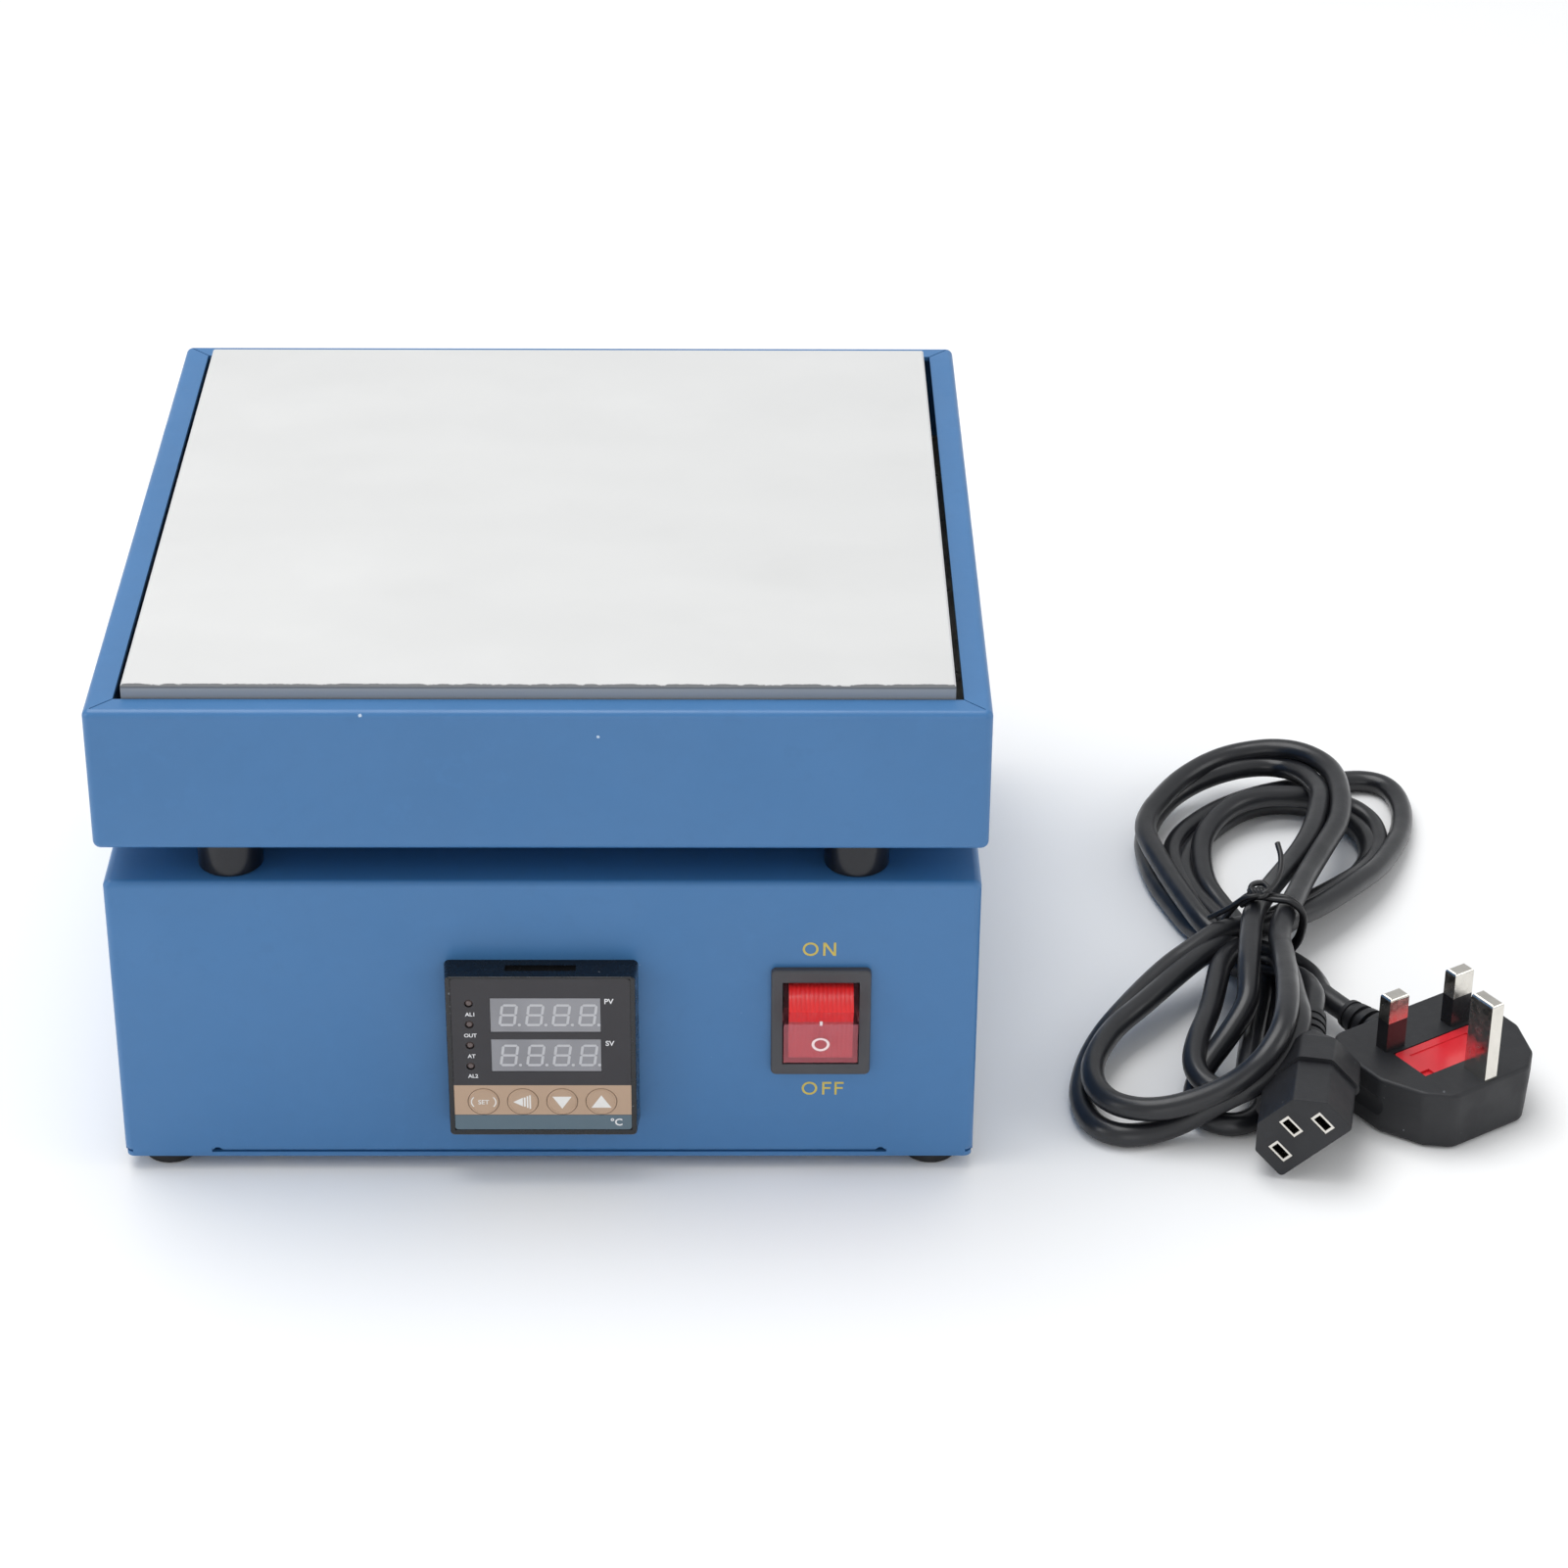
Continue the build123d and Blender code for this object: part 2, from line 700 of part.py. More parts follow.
def switch_side():
    """The plane across the pivot: local x up the wall, y towards the user."""
    return Plane(origin=(0, 0, pivot_z), x_dir=(0, 1, 0), z_dir=(1, 0, 0))


def switch_body():
    rim = extrude(RectangleRounded(switch_w, switch_h, 1.4), switch_proud)
    rim = fillet(rim.edges().group_by(Axis.Z)[-1], 0.7)
    shell = rim + Pos(0, 0, -switch_deep / 2) * Box(switch_body_w, switch_body_h, switch_deep)
    shell -= Pos(0, 0, switch_proud) * Box(switch_mouth_w, switch_mouth_h, 2 * pivot_back)
    drum = Pos(0, 0, pivot_z) * Rot(0, 90, 0) * Cylinder(rocker_r + rocker_gap, switch_mouth_w)
    pivots = Pos(0, 0, pivot_z) * Rot(0, 90, 0) * Cylinder(pivot_d / 2 + pivot_gap, switch_mouth_w + 2.2)
    shell = shell - drum - pivots
    for side in (-1, 1):
        wing = Polygon((0, -sheet - 0.1), (1.5, -sheet - 0.6), (0, -sheet - 7), align=None)
        turned = Plane(origin=(-3, side * switch_body_h / 2, 0), x_dir=(0, side, 0), z_dir=(side, 0, 0))
        shell += turned * extrude(wing, side * 6)
    return shell


def switch_terminals():
    blades = [Pos(x, y, -switch_deep - 4) * Box(0.8, 6.3, 8) for x in (-5, 5) for y in (-7, 7)]
    return group(blades)


def rocker_lens():
    """The clear moulding: face, heels, cheeks and the two pivots."""
    wide = switch_mouth_w - 2 * rocker_gap
    side = switch_side() * Rot(0, 0, rocker_tilt)
    outer = extrude(side * rocker_section(rocker_r, rocker_mid, rocker_hollow_r, -2.0), wide / 2, both=True)
    inner_face = rocker_section(rocker_r - lens_wall, rocker_mid - lens_wall, rocker_hollow_r + lens_wall, -4.0)
    inner = extrude(side * inner_face, wide / 2 - lens_side, both=True)
    stubs = [Pos(s * (wide / 2 + 0.4), 0, pivot_z) * Rot(0, 90, 0) * Cylinder(pivot_d / 2, 1.4) for s in (-1, 1)]
    return outer - inner + stubs


def rocker_core():
    """The coloured insert behind the clear face."""
    wide = switch_mouth_w - 2 * rocker_gap - 2 * lens_side - 0.1
    side = switch_side() * Rot(0, 0, rocker_tilt)
    fit = lens_wall + 0.05
    face = rocker_section(rocker_r - fit, rocker_mid - fit, rocker_hollow_r + fit, -4.5)
    return extrude(side * face, wide / 2, both=True)


# Mains inlet

def inlet_mouth(width, height, cut):
    """The socket's outline, with the two corners cut on the earth side."""
    x, y = width / 2, height / 2
    return Polygon((-x, -y), (x, -y), (x, y - cut), (x - cut, y), (cut - x, y), (-x, y - cut), align=None)


def inlet_body():
    flange = extrude(RectangleRounded(inlet_flange_w, inlet_flange_h, 4.0), inlet_proud)
    flange = fillet(flange.edges().group_by(Axis.Z)[-1], 0.6)
    back = Pos(0, 0, -inlet_deep / 2) * Box(inlet_back_w, inlet_back_h, inlet_deep)
    mouth = Pos(0, 0, inlet_proud + 1) * extrude(inlet_mouth(inlet_mouth_w, inlet_mouth_h, nose_chamfer),
                                                 -inlet_deep - 1)
    cuts = [mouth] + [Pos(side * inlet_screw_pitch / 2, 0, 0) * Cylinder(inlet_screw_d / 2 + screw_gap, 12)
                      for side in (-1, 1)]
    wide, high = inlet_pin[0] + screw_gap, inlet_pin[1] + screw_gap
    cuts += [Pos(x, y, -inlet_deep) * Box(wide, high, inlet_deep * 0.7) for x, y in contact_places()]
    return flange + back - cuts


def contact_places():
    """Line, earth and neutral, seen on the mating face."""
    return [(-pin_pitch / 2, -earth_rise / 2), (0, earth_rise / 2), (pin_pitch / 2, -earth_rise / 2)]


def inlet_pins():
    floor_z = inlet_proud - inlet_deep
    middle = floor_z - inlet_pin_back + inlet_pin[2] / 2
    return group([Pos(x, y, middle) * Box(*inlet_pin) for x, y in contact_places()])


def inlet_screws():
    out = []
    for side in (-1, 1):
        x = side * inlet_screw_pitch / 2
        top = inlet_proud + inlet_screw_head
        head = Pos(x, 0, top - inlet_screw_head / 2) * Cylinder(inlet_screw_d * 0.93, inlet_screw_head)
        head = chamfer(head.edges().group_by(Axis.Z)[-1], inlet_screw_head * 0.37)
        head -= Pos(x, 0, top) * Box(inlet_screw_d * 1.6, inlet_screw_d * 0.23, inlet_screw_head)
        shank = Cylinder(inlet_screw_d / 2, inlet_proud + inlet_screw_l)
        out.append(head + Pos(x, 0, (inlet_proud - inlet_screw_l) / 2) * shank)
    return group(out)


# Inside the base

def relay_module():
    x, y = relay_place
    z = shell_z
    metal = block(x - relay_l / 2, x + relay_l / 2, y - relay_w / 2, y + relay_w / 2, z, z + 4)
    case = block(x - relay_l / 2 + 1, x + relay_l / 2 - 1, y - relay_w / 2 + 1, y + relay_w / 2 - 1, z + 4, z + relay_h)
    case = fillet(case.edges().filter_by(Axis.Z), 3)
    for side in (-1, 1):
        case -= Pos(x + side * relay_l / 2, y, z + relay_h) * Box(22, relay_w - 8, 12)
    return metal + case


def terminal_block():
    z = shell_z
    solid = block(-block_w / 2, block_w / 2, block_y - block_l / 2, block_y + block_l / 2, z, z + block_h)
    step = block_l * 0.3
    for side in (-1, 1):
        y = block_y + side * block_l / 2
        cells = [Pos((i - 1.5) * block_w / 4, y, z + block_h) * Box(block_w / 4 - 2, 2 * step, block_h)
                 for i in range(4)]
        solid -= cells
    return solid


def earth_stud():
    x, y = stud_place
    z = shell_z
    return post(x, y, z, z + stud_l, stud_d) + Pos(x, y, z) * extrude(RegularPolygon(stud_d * 1.05, 6), stud_l / 4)


def heater_leads():
    """Three sleeved leads, from the cartridges down through the deck."""
    z = plate_z + plate_t / 2
    rear = plate_w / 2 - plate_slip + 1.3
    out = []
    for i, x in enumerate(cartridge_places()):
        drop = (i - 1) * 3.6
        down = [(drop, rear_lead_y, cover_z + 14), (drop, grommet_y - 1.4, cover_z + 2),
                (drop, grommet_y - 1.4, deck_z - 14), (drop, block_y + block_l / 2 + 5, shell_z + block_h * 0.25),
                (drop, block_y + block_l / 2 + 0.3, shell_z + block_h * 0.25)]
        over = [(x, rear, z), (x, rear_lead_y + 1.6, z)] if i != 1 else [(x, rear, z)]
        turn = [(drop, rear_lead_y + 1.6, z)] if i != 1 else [(drop, rear_lead_y, z)]
        radii = [1.9] * len(over[1:]) + [1.9, 3.5, 3.5, 3.5, 3.5]
        out.append(tube(over + turn + down, radii[:len(over + turn + down) - 2], heater_lead_d))
    return group(out)


def sensor_lead():
    z = plate_z + plate_t / 2
    rear = plate_w / 2 - plate_slip + 1.1
    points = [(probe_x, rear, z), (probe_x, rear + 1.4, z), (probe_x, rear + 2.2, cover_z + 12),
              (-3.4, grommet_y + 5.6, cover_z + 5), (-1.8, grommet_y + 3.4, cover_z - 2),
              (-1.8, grommet_y + 3.4, deck_z - 7), (-14, grommet_y, deck_z - 18),
              (-14, 20, controller_z + 18), (-8, -base_w / 2 + case_deep + 0.6, controller_z + 2)]
    return tube(points, [1.3, 2.4, 2.4, 2.0, 4.0, 5.0, 10.0], sensor_lead_d)


def base_wires():
    """The sleeved runs between inlet, switch, controller, relay and terminal block."""
    return group([supply_run(), switched_run(), control_run(), relay_run()])


def supply_run():
    start_y = base_w / 2 - inlet_deep - 14
    end_y = -base_w / 2 + switch_deep + 9
    points = [(inlet_x, start_y, inlet_z), (inlet_x + 4, start_y - 14, inlet_z - 3),
              (stud_place[0] + 8, stud_place[1] - 10, 18), (stud_place[0] + 10, -20, 16),
              (switch_x + 8, end_y + 22, switch_z - 14), (switch_x, end_y, switch_z)]
    return tube(points, [9.0, 20.0, 20.0, 14.0], supply_d)


def switched_run():
    end_y = -base_w / 2 + switch_deep + 8.6
    points = [(switch_x - 5, end_y + 0.6, switch_z - 7), (switch_x - 8, end_y + 16, switch_z - 16),
              (46, -20, 12), (block_w * 0.375, 26, 9.0), (block_w * 0.375, block_y - block_l / 2 - 0.3, 9.0)]
    return tube(points, [9.0, 14.0, 14.0], switched_d)


def control_run():
    y = -base_w / 2 + case_deep + 0.6
    points = [(-12, y, controller_z - 9), (-12, y + 14, controller_z - 12), (-block_w * 0.125, 24, 9.0),
              (-block_w * 0.125, block_y - block_l / 2 - 0.3, 9.0)]
    return tube(points, [6.0, 12.0], control_d)


def relay_run():
    x, y = relay_place
    end_x = x + relay_l / 2
    points = [(end_x + 0.3, y, shell_z + 8), (end_x + 7, y + 3, shell_z + 7),
              (-block_w * 0.375, y + 12, 9.5), (-block_w * 0.375, block_y - block_l / 2 - 0.3, 9.0)]
    return tube(points, [3.0, 5.0], relay_lead_d)


# Mains lead

def connector_frame():
    """Local z out of the mating face, x along the pins, y towards the earth side."""
    turn, roll = math.radians(connector_turn), math.radians(connector_roll)
    along = Vector(math.cos(turn), math.sin(turn), 0)
    out = Vector(math.sin(turn), -math.cos(turn), 0)
    x_dir = along * math.cos(roll) + Vector(0, 0, math.sin(roll))
    low = nose_w / 2 * math.sin(roll) + nose_h / 2 * math.cos(roll) + grip_grow - 0.2
    return Plane(origin=(connector_place[0], connector_place[1], low), x_dir=x_dir, z_dir=out)


def connector_outline(grow, round_r):
    shape = inlet_mouth(nose_w + 2 * grow, nose_h + 2 * grow, nose_chamfer)
    return fillet(shape.vertices(), round_r)


def connector_body():
    """The overmoulded connector: nose, grip, neck and ribbed relief."""
    nose = extrude(connector_outline(0, 1.2), -nose_len)
    nose = fillet(nose.edges().group_by(Axis.Z)[-1], 0.4)
    grip_z = -nose_len - grip_len
    grip = loft([Pos(0, 0, -nose_len) * connector_outline(grip_grow, 2.0),
                 Pos(0, 0, -nose_len - grip_len * 0.55) * connector_outline(grip_grow - 0.3, 2.0)])
    neck = loft([Pos(0, 0, -nose_len - grip_len * 0.55) * connector_outline(grip_grow - 0.3, 2.0),
                 Pos(0, 0, grip_z) * RectangleRounded(13.0, 11.0, 4.0)])
    relief = Pos(0, 0, grip_z - relief_len / 2) * Rot(180, 0, 0) * Cone(5.0, cord_d / 2 + 0.9, relief_len)
    shape = nose + grip + neck + relief
    for i in range(relief_ribs):
        z = grip_z - 2.2 - i * relief_len / (relief_ribs + 0.6)
        shape -= Pos(0, 0, z) * (Cylinder(9, 1.3) - Cylinder(cord_d / 2 + 0.7, 1.3))
    shape -= Pos(0, 0, grip_z - relief_len) * Cylinder(cord_d / 2 + 0.01, 8)
    shape -= [Pos(x, y, 0) * Box(3.2, 6.0, 30) for x, y in contact_places()]
    return connector_frame() * shape


def connector_contacts():
    sleeves = [Pos(x, y, -7.2) * (Box(3.1, 5.9, 14) - Box(2.0, 4.4, 16)) for x, y in contact_places()]
    return connector_frame() * group(sleeves)


def plug_frame():
    """Origin on the floor between line and neutral, y towards the cord."""
    turn = math.radians(plug_turn)
    return Plane(origin=(plug_place[0], plug_place[1], 0), x_dir=(math.cos(turn), math.sin(turn), 0), z_dir=(0, 0, 1))


def plug_outline(grow=0.0):
    half = [(12.5, -27.2), (18.5, -22.0), (23.8, -10.5), (24.0, 4.5), (20.0, plug_back)]
    points = [(x + grow, y) for x, y in half] + [(-x - grow, y) for x, y in reversed(half)]
    return Polygon(*points, align=None)


def plug_body():
    base = fillet(plug_outline(-1.0).vertices(), 4.0)
    wide = fillet(plug_outline().vertices(), 4.5)
    shape = loft([base, Pos(0, 0, plug_t * 0.7) * wide])
    shape += Pos(0, 0, plug_t * 0.7) * extrude(wide, plug_t * 0.3)
    shape = fillet(shape.edges().group_by(Axis.Z)[-1], 1.0)
    shape = fillet(shape.edges().group_by(Axis.Z)[0], 2.0)
    for side in (-1, 1):
        shape -= Pos(side * 30.5, -6.0, plug_t * 0.46) * Rot(90, 0, 0) * Cylinder(7.6, 17)
    cable = cable_height()
    reach = plug_relief_len + 1
    shape += Pos(0, plug_back - 1 + reach / 2, cable) * Rot(-90, 0, 0) * Cone(6.4, cord_d / 2 + 0.9, reach)
    for i in range(relief_ribs):
        y = plug_back + 3.0 + i * plug_relief_len / (relief_ribs + 0.4)
        shape -= Pos(0, y, cable) * Rot(90, 0, 0) * (Cylinder(10, 1.5) - Cylinder(cord_d / 2 + 0.7, 1.5))
    shape -= Pos(0, plug_back + plug_relief_len, cable) * Rot(90, 0, 0) * Cylinder(cord_d / 2 + 0.01, 8)
    shape -= Pos(0, -carrier_v, plug_t) * Box(carrier_w, carrier_h, 2 * carrier_t)
    shape -= [Pos(x, y, plug_t) * Box(w + 0.02, h + 0.02, 10) for x, y, w, h, tall in pin_table()]
    return plug_frame() * shape


def cable_height():
    return max(cord_d / 2 + 1.6, plug_t * 0.45)


def pin_table():
    """Each pin's place, section and length above the plug's face."""
    w, h, tall = line_pin
    ew, eh, etall = earth_pin
    return [(-plug_pin_pitch / 2, 0, w, h, tall), (plug_pin_pitch / 2, 0, w, h, tall),
            (0, -earth_pin_out, ew, eh, etall)]


def plug_pins():
    out = []
    for x, y, w, h, tall in pin_table():
        pin = Pos(x, y, plug_t - 5 + (tall + 5) / 2) * Box(w, h, tall + 5)
        pin = fillet(pin.edges().group_by(Axis.Z)[-1], 0.9)
        out.append(pin)
    sleeves = pin_sleeves_raw(0.0)
    out[0] -= sleeves[0]
    out[1] -= sleeves[1]
    return plug_frame() * group(out)


def pin_sleeves_raw(gap):
    out = []
    for x, y, w, h, tall in pin_table()[:2]:
        z = plug_t + sleeve_len / 2
        out.append(Pos(x, y, z) * (Box(w, h, sleeve_len) - Box(w - 1.0 + gap, h - 1.0 + gap, sleeve_len + 2)))
    return out


def pin_sleeves():
    return plug_frame() * group(pin_sleeves_raw(0.02))


def fuse_carrier():
    top = plug_t + 0.3
    z = top - carrier_t / 2
    wide, high = carrier_w - 2 * slide_gap, carrier_h - 2 * slide_gap
    shape = Pos(0, -carrier_v, z) * Box(wide, high, carrier_t - 1)
    shape = fillet(shape.edges().filter_by(Axis.Z), 0.8)
    shape -= Pos(0, -carrier_v, top - 0.4) * Box(wide - 6, high - 5, 0.8)
    shape -= Pos(0, -carrier_v, z - 2.1) * Box(fuse_len + 0.6, fuse_d + 0.4, carrier_t)
    shape -= Pos(-wide / 2 + 1.5, -carrier_v - high / 2 + 1, top - 0.6) * Box(3, 2.4, 1.2)
    return plug_frame() * shape


def fuse():
    z = plug_t + 0.3 - carrier_t + fuse_d / 2 + 0.5
    rod = Pos(0, -carrier_v, z) * Rot(0, 90, 0) * Cylinder(fuse_d / 2 - 0.05, fuse_len)
    return plug_frame() * rod


# Plan of the wound lead: its outer line and the eyes left open between the strands
lead_outline = [(204, 81), (217, 84), (229, 83), (240, 73), (243, 54), (238, 35), (225, 14), (212, -3), (206, -12),
                (206, -28), (201, -36), (199, -48), (193, -68), (184, -86), (174, -96), (160, -102), (147, -106),
                (135, -101), (131, -87), (132, -74), (137, -60), (150, -34), (162, -14), (160, 4), (158.5, 22),
                (161, 43), (167, 61), (182, 77)]
lead_eyes = [[(187, 12), (182, 34), (187, 54), (199, 69), (211, 70), (215, 60), (210, 42), (198, 16)],
             [(147, -82), (150, -62), (160, -44), (172, -28), (175, -38), (170, -60), (163, -78), (163, -87),
              (152, -92)],
             [(182, -24), (184, -40), (178, -62), (173, -78), (177, -80), (186, -66), (192, -45), (192, -26)]]


def lead_bundle():
    """The room that the wound lead takes, with its eyes open."""
    def slab(shrink, z, tall):
        plan = offset(Polygon(*lead_outline, align=None), -shrink) - [
            offset(Polygon(*eye, align=None), shrink * 0.5) for eye in lead_eyes]
        return Pos(0, 0, z) * extrude(plan, tall, dir=(0, 0, 1))
    edge = cord_d / 2
    shape = slab(0, edge, bundle_h - 2 * edge) + slab(edge * 0.6, 0, edge) + slab(edge * 0.6, bundle_h - edge, edge)
    hollow = connector_frame() * extrude(connector_outline(grip_grow + 0.3, 2.0), -nose_len - grip_len - 4)
    hollow += connector_frame() * Pos(0, 0, -nose_len - grip_len - relief_len / 2) * Cylinder(6.6, relief_len + 6)
    return shape - hollow - tail_run(connector_tail_points(), 0.02) - tail_run(plug_tail_points(), 0.02)


def connector_tail_points():
    start = connector_frame().from_local_coords(Vector(0, 0, -nose_len - grip_len - relief_len + 4))
    corner = connector_frame().from_local_coords(Vector(0, 0, -nose_len - grip_len - relief_len - 14))
    return [tuple(start), tuple(corner), (201.6, -22.0, start.Z - 2.0)]


def plug_tail_points():
    start = plug_frame().from_local_coords(Vector(0, plug_back + plug_relief_len - 4, cable_height()))
    corner = plug_frame().from_local_coords(Vector(0, plug_back + plug_relief_len + 9, cable_height()))
    return [tuple(start), tuple(corner), (201.6, -24.0, start.Z - 1.2)]


def tail_run(points, grow=0.0):
    """A length of cord that bends gently, as its own thickness asks."""
    return tube(points, [tail_radius(points)], cord_d + grow)


def tail_radius(points):
    a, b, c = [Vector(*p) for p in points]
    half_turn = math.radians((b - a).get_angle(c - b)) / 2
    return 0.45 * min((b - a).length, (c - b).length) / math.tan(half_turn)


def lead_tie():
    """The wire tie over the strands, with its two twisted ends standing up."""
    x, y = tie_place
    strap = Pos(x, y, bundle_h + 0.4) * Rot(0, 0, 20) * Box(24, 4.0, 0.8)
    ends = [Pos(x + 4, y, bundle_h + 0.4) * Rot(12 * side, 25, 0) * Pos(0, 0, 6) * Cylinder(0.7, 12)
            for side in (-1, 1)]
    return strap + ends - Pos(x, y, bundle_h - 10) * Box(60, 60, 20)


parts = {
    "heating_plate": heating_plate, "heater_cartridges": heater_cartridges,
    "thermocouple_probe": thermocouple_probe, "plate_pillars": plate_pillars, "plate_screws": plate_screws,
    "insulation_board": insulation_board, "upper_cover": upper_cover, "cover_tray": cover_tray,
    "standoffs": standoffs, "standoff_screws": standoff_screws, "standoff_nuts": standoff_nuts,
    "base_shell": base_shell, "base_plate": base_plate, "base_screws": base_screws, "feet": feet,
    "foot_studs": foot_studs, "deck_grommet": deck_grommet, "relay_module": relay_module,
    "terminal_block": terminal_block, "earth_stud": earth_stud, "heater_leads": heater_leads,
    "sensor_lead": sensor_lead, "base_wires": base_wires,
}
on_controller = {
    "controller_bezel": controller_bezel, "controller_facia": controller_facia,
    "display_windows": display_windows, "display_module": display_module, "indicator_lamps": indicator_lamps,
    "key_switches": key_switches, "display_board": display_board, "controller_board": controller_board,
    "controller_case": controller_case, "controller_terminals": controller_terminals,
    "terminal_screws": terminal_screws, "controller_clamp": controller_clamp, "clamp_screws": clamp_screws,
}
on_switch = {
    "switch_body": switch_body, "switch_terminals": switch_terminals, "rocker_lens": rocker_lens,
    "rocker_core": rocker_core,
}
on_rear = {"inlet_body": inlet_body, "inlet_pins": inlet_pins, "inlet_screws": inlet_screws}
on_floor = {
    "connector_body": connector_body, "connector_contacts": connector_contacts, "plug_body": plug_body,
    "plug_pins": plug_pins, "pin_sleeves": pin_sleeves, "fuse_carrier": fuse_carrier, "fuse": fuse,
    "lead_bundle": lead_bundle, "lead_tie": lead_tie,
    "lead_tail_connector": lambda: tail_run(connector_tail_points()),
    "lead_tail_plug": lambda: tail_run(plug_tail_points()),
}
key_names = ["key_set", "key_shift", "key_down", "key_up"]


def main():
    os.makedirs("parts", exist_ok=True)
    for node, make in parts.items():
        save(node, make())
    front = panel(controller_x, controller_z)
    for node, make in on_controller.items():
        save(node, front * make())
    for node, place in zip(key_names, key_places()):
        save(node, front * key(place))
    for node, make in on_switch.items():
        save(node, panel(switch_x, switch_z) * make())
    for node, make in on_rear.items():
        save(node, rear_panel(inlet_x, inlet_z) * make())
    for node, make in on_floor.items():
        save(node, make(), floor)
    for points in (connector_tail_points(), plug_tail_points()):
        print("lead bend radius", round(tail_radius(points), 1))


main()
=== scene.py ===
"""Dresses the laboratory hot plate's frame: finishes, printed panel, wound mains lead, floor and lights.

Run as a script. Every piece stands in the frame's own metres, with its place in its mesh.
"""
import json
import math

import bmesh
import bpy
import numpy as np
from bpy.props import FloatProperty, FloatVectorProperty, IntProperty, PointerProperty
from bpy.types import Operator, Panel, PropertyGroup
from mathutils import Matrix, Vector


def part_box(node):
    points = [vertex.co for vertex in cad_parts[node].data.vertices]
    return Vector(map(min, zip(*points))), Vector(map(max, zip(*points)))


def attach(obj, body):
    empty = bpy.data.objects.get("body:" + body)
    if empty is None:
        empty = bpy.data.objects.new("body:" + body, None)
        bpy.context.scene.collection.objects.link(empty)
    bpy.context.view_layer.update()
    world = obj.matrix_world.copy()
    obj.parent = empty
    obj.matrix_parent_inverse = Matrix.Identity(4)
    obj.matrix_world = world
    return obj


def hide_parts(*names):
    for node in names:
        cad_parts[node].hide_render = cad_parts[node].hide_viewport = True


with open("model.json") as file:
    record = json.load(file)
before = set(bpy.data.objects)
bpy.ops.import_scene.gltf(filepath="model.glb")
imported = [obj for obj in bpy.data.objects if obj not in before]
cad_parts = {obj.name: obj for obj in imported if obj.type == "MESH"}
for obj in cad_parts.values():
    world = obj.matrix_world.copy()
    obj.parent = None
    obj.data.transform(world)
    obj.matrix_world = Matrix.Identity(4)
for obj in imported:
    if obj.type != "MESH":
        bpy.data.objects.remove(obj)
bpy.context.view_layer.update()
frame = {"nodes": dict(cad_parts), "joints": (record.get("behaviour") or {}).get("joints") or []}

bl_info = {
    "name": "Laboratory hot plate",
    "version": (1, 0, 0),
    "blender": (4, 5, 0),
    "location": "3D View > Sidebar > Hot plate",
    "description": "Finishes and small pieces of a bench hot plate with its mains lead",
    "category": "Object",
}

MM = 0.001
NODES = frame["nodes"]
STAND = "stand"
PRINT_GAP = 0.00003
PRINT_THICK = 0.00004


def mm(*values):
    """Millimetres as metres."""
    return tuple(v * MM for v in values)


def srgb(red, green, blue, alpha=1.0):
    """A colour given as seen on a screen, 0 to 255, as the linear values that a shader takes."""
    def linear(v):
        v /= 255.0
        return v / 12.92 if v <= 0.04045 else ((v + 0.055) / 1.055) ** 2.4
    return (linear(red), linear(green), linear(blue), alpha)


def colour(name, description, value):
    """A colour that a user may change."""
    return FloatVectorProperty(name=name, description=description, subtype="COLOR", size=4, min=0, max=1,
                               default=value)


class CabinetLook(PropertyGroup):
    """Paint of the cabinet and metal of the plate."""
    paint: colour("Paint", "Colour of the powder coat", srgb(60, 114, 166))
    paint_grain: FloatProperty(name="Paint grain", description="Size of the coat's texture", unit="LENGTH",
                               default=0.0007)
    plate: colour("Plate", "Colour of the milled plate", srgb(222, 222, 221))
    zinc: colour("Zinc", "Colour of screws and hidden steel", srgb(176, 176, 170))


class PanelLook(PropertyGroup):
    """Printing and colours of the control panel."""
    legend: colour("Legend", "Colour of ON and OFF", srgb(200, 180, 84))
    label: colour("Label", "Colour of the facia's main field", srgb(44, 42, 46))
    key_band: colour("Key band", "Colour of the band round the keys", srgb(184, 156, 132))
    foot_band: colour("Foot band", "Colour of the band below the keys", srgb(88, 108, 120))
    window: colour("Window", "Colour of the dark display windows", srgb(128, 128, 133))
    rocker: colour("Rocker", "Colour of the rocker's insert", srgb(240, 18, 14))


class LeadLook(PropertyGroup):
    """Sizes and colour of the mains lead."""
    thickness: FloatProperty(name="Thickness", description="Diameter of the cord", unit="LENGTH",
                             default=0.0062)
    sheath: colour("Sheath", "Colour of the cord and its mouldings", srgb(26, 27, 31))
    tie_turns: IntProperty(name="Tie turns", description="Twists in the wire tie", default=3, min=1, max=8)


class PhotoView(PropertyGroup):
    """The camera that sees the object as photographed."""
    azimuth: FloatProperty(name="Azimuth", description="Turn about the upright axis", subtype="ANGLE",
                           default=math.radians(-0.791))
    elevation: FloatProperty(name="Elevation", description="Angle above the floor", subtype="ANGLE",
                             default=math.radians(29.630))
    roll: FloatProperty(name="Roll", description="Turn about the line of sight", subtype="ANGLE",
                        default=math.radians(0.438))
    place: FloatVectorProperty(name="Place", description="Where the camera stands", subtype="TRANSLATION",
                               size=3, default=mm(47.05, -957.305, 597.62))
    lens: FloatProperty(name="Lens", description="Focal length for a 36 mm sensor, in millimetres",
                        default=93.42)


# Materials: each is a shader with its own grain, worked out from Object coordinates.

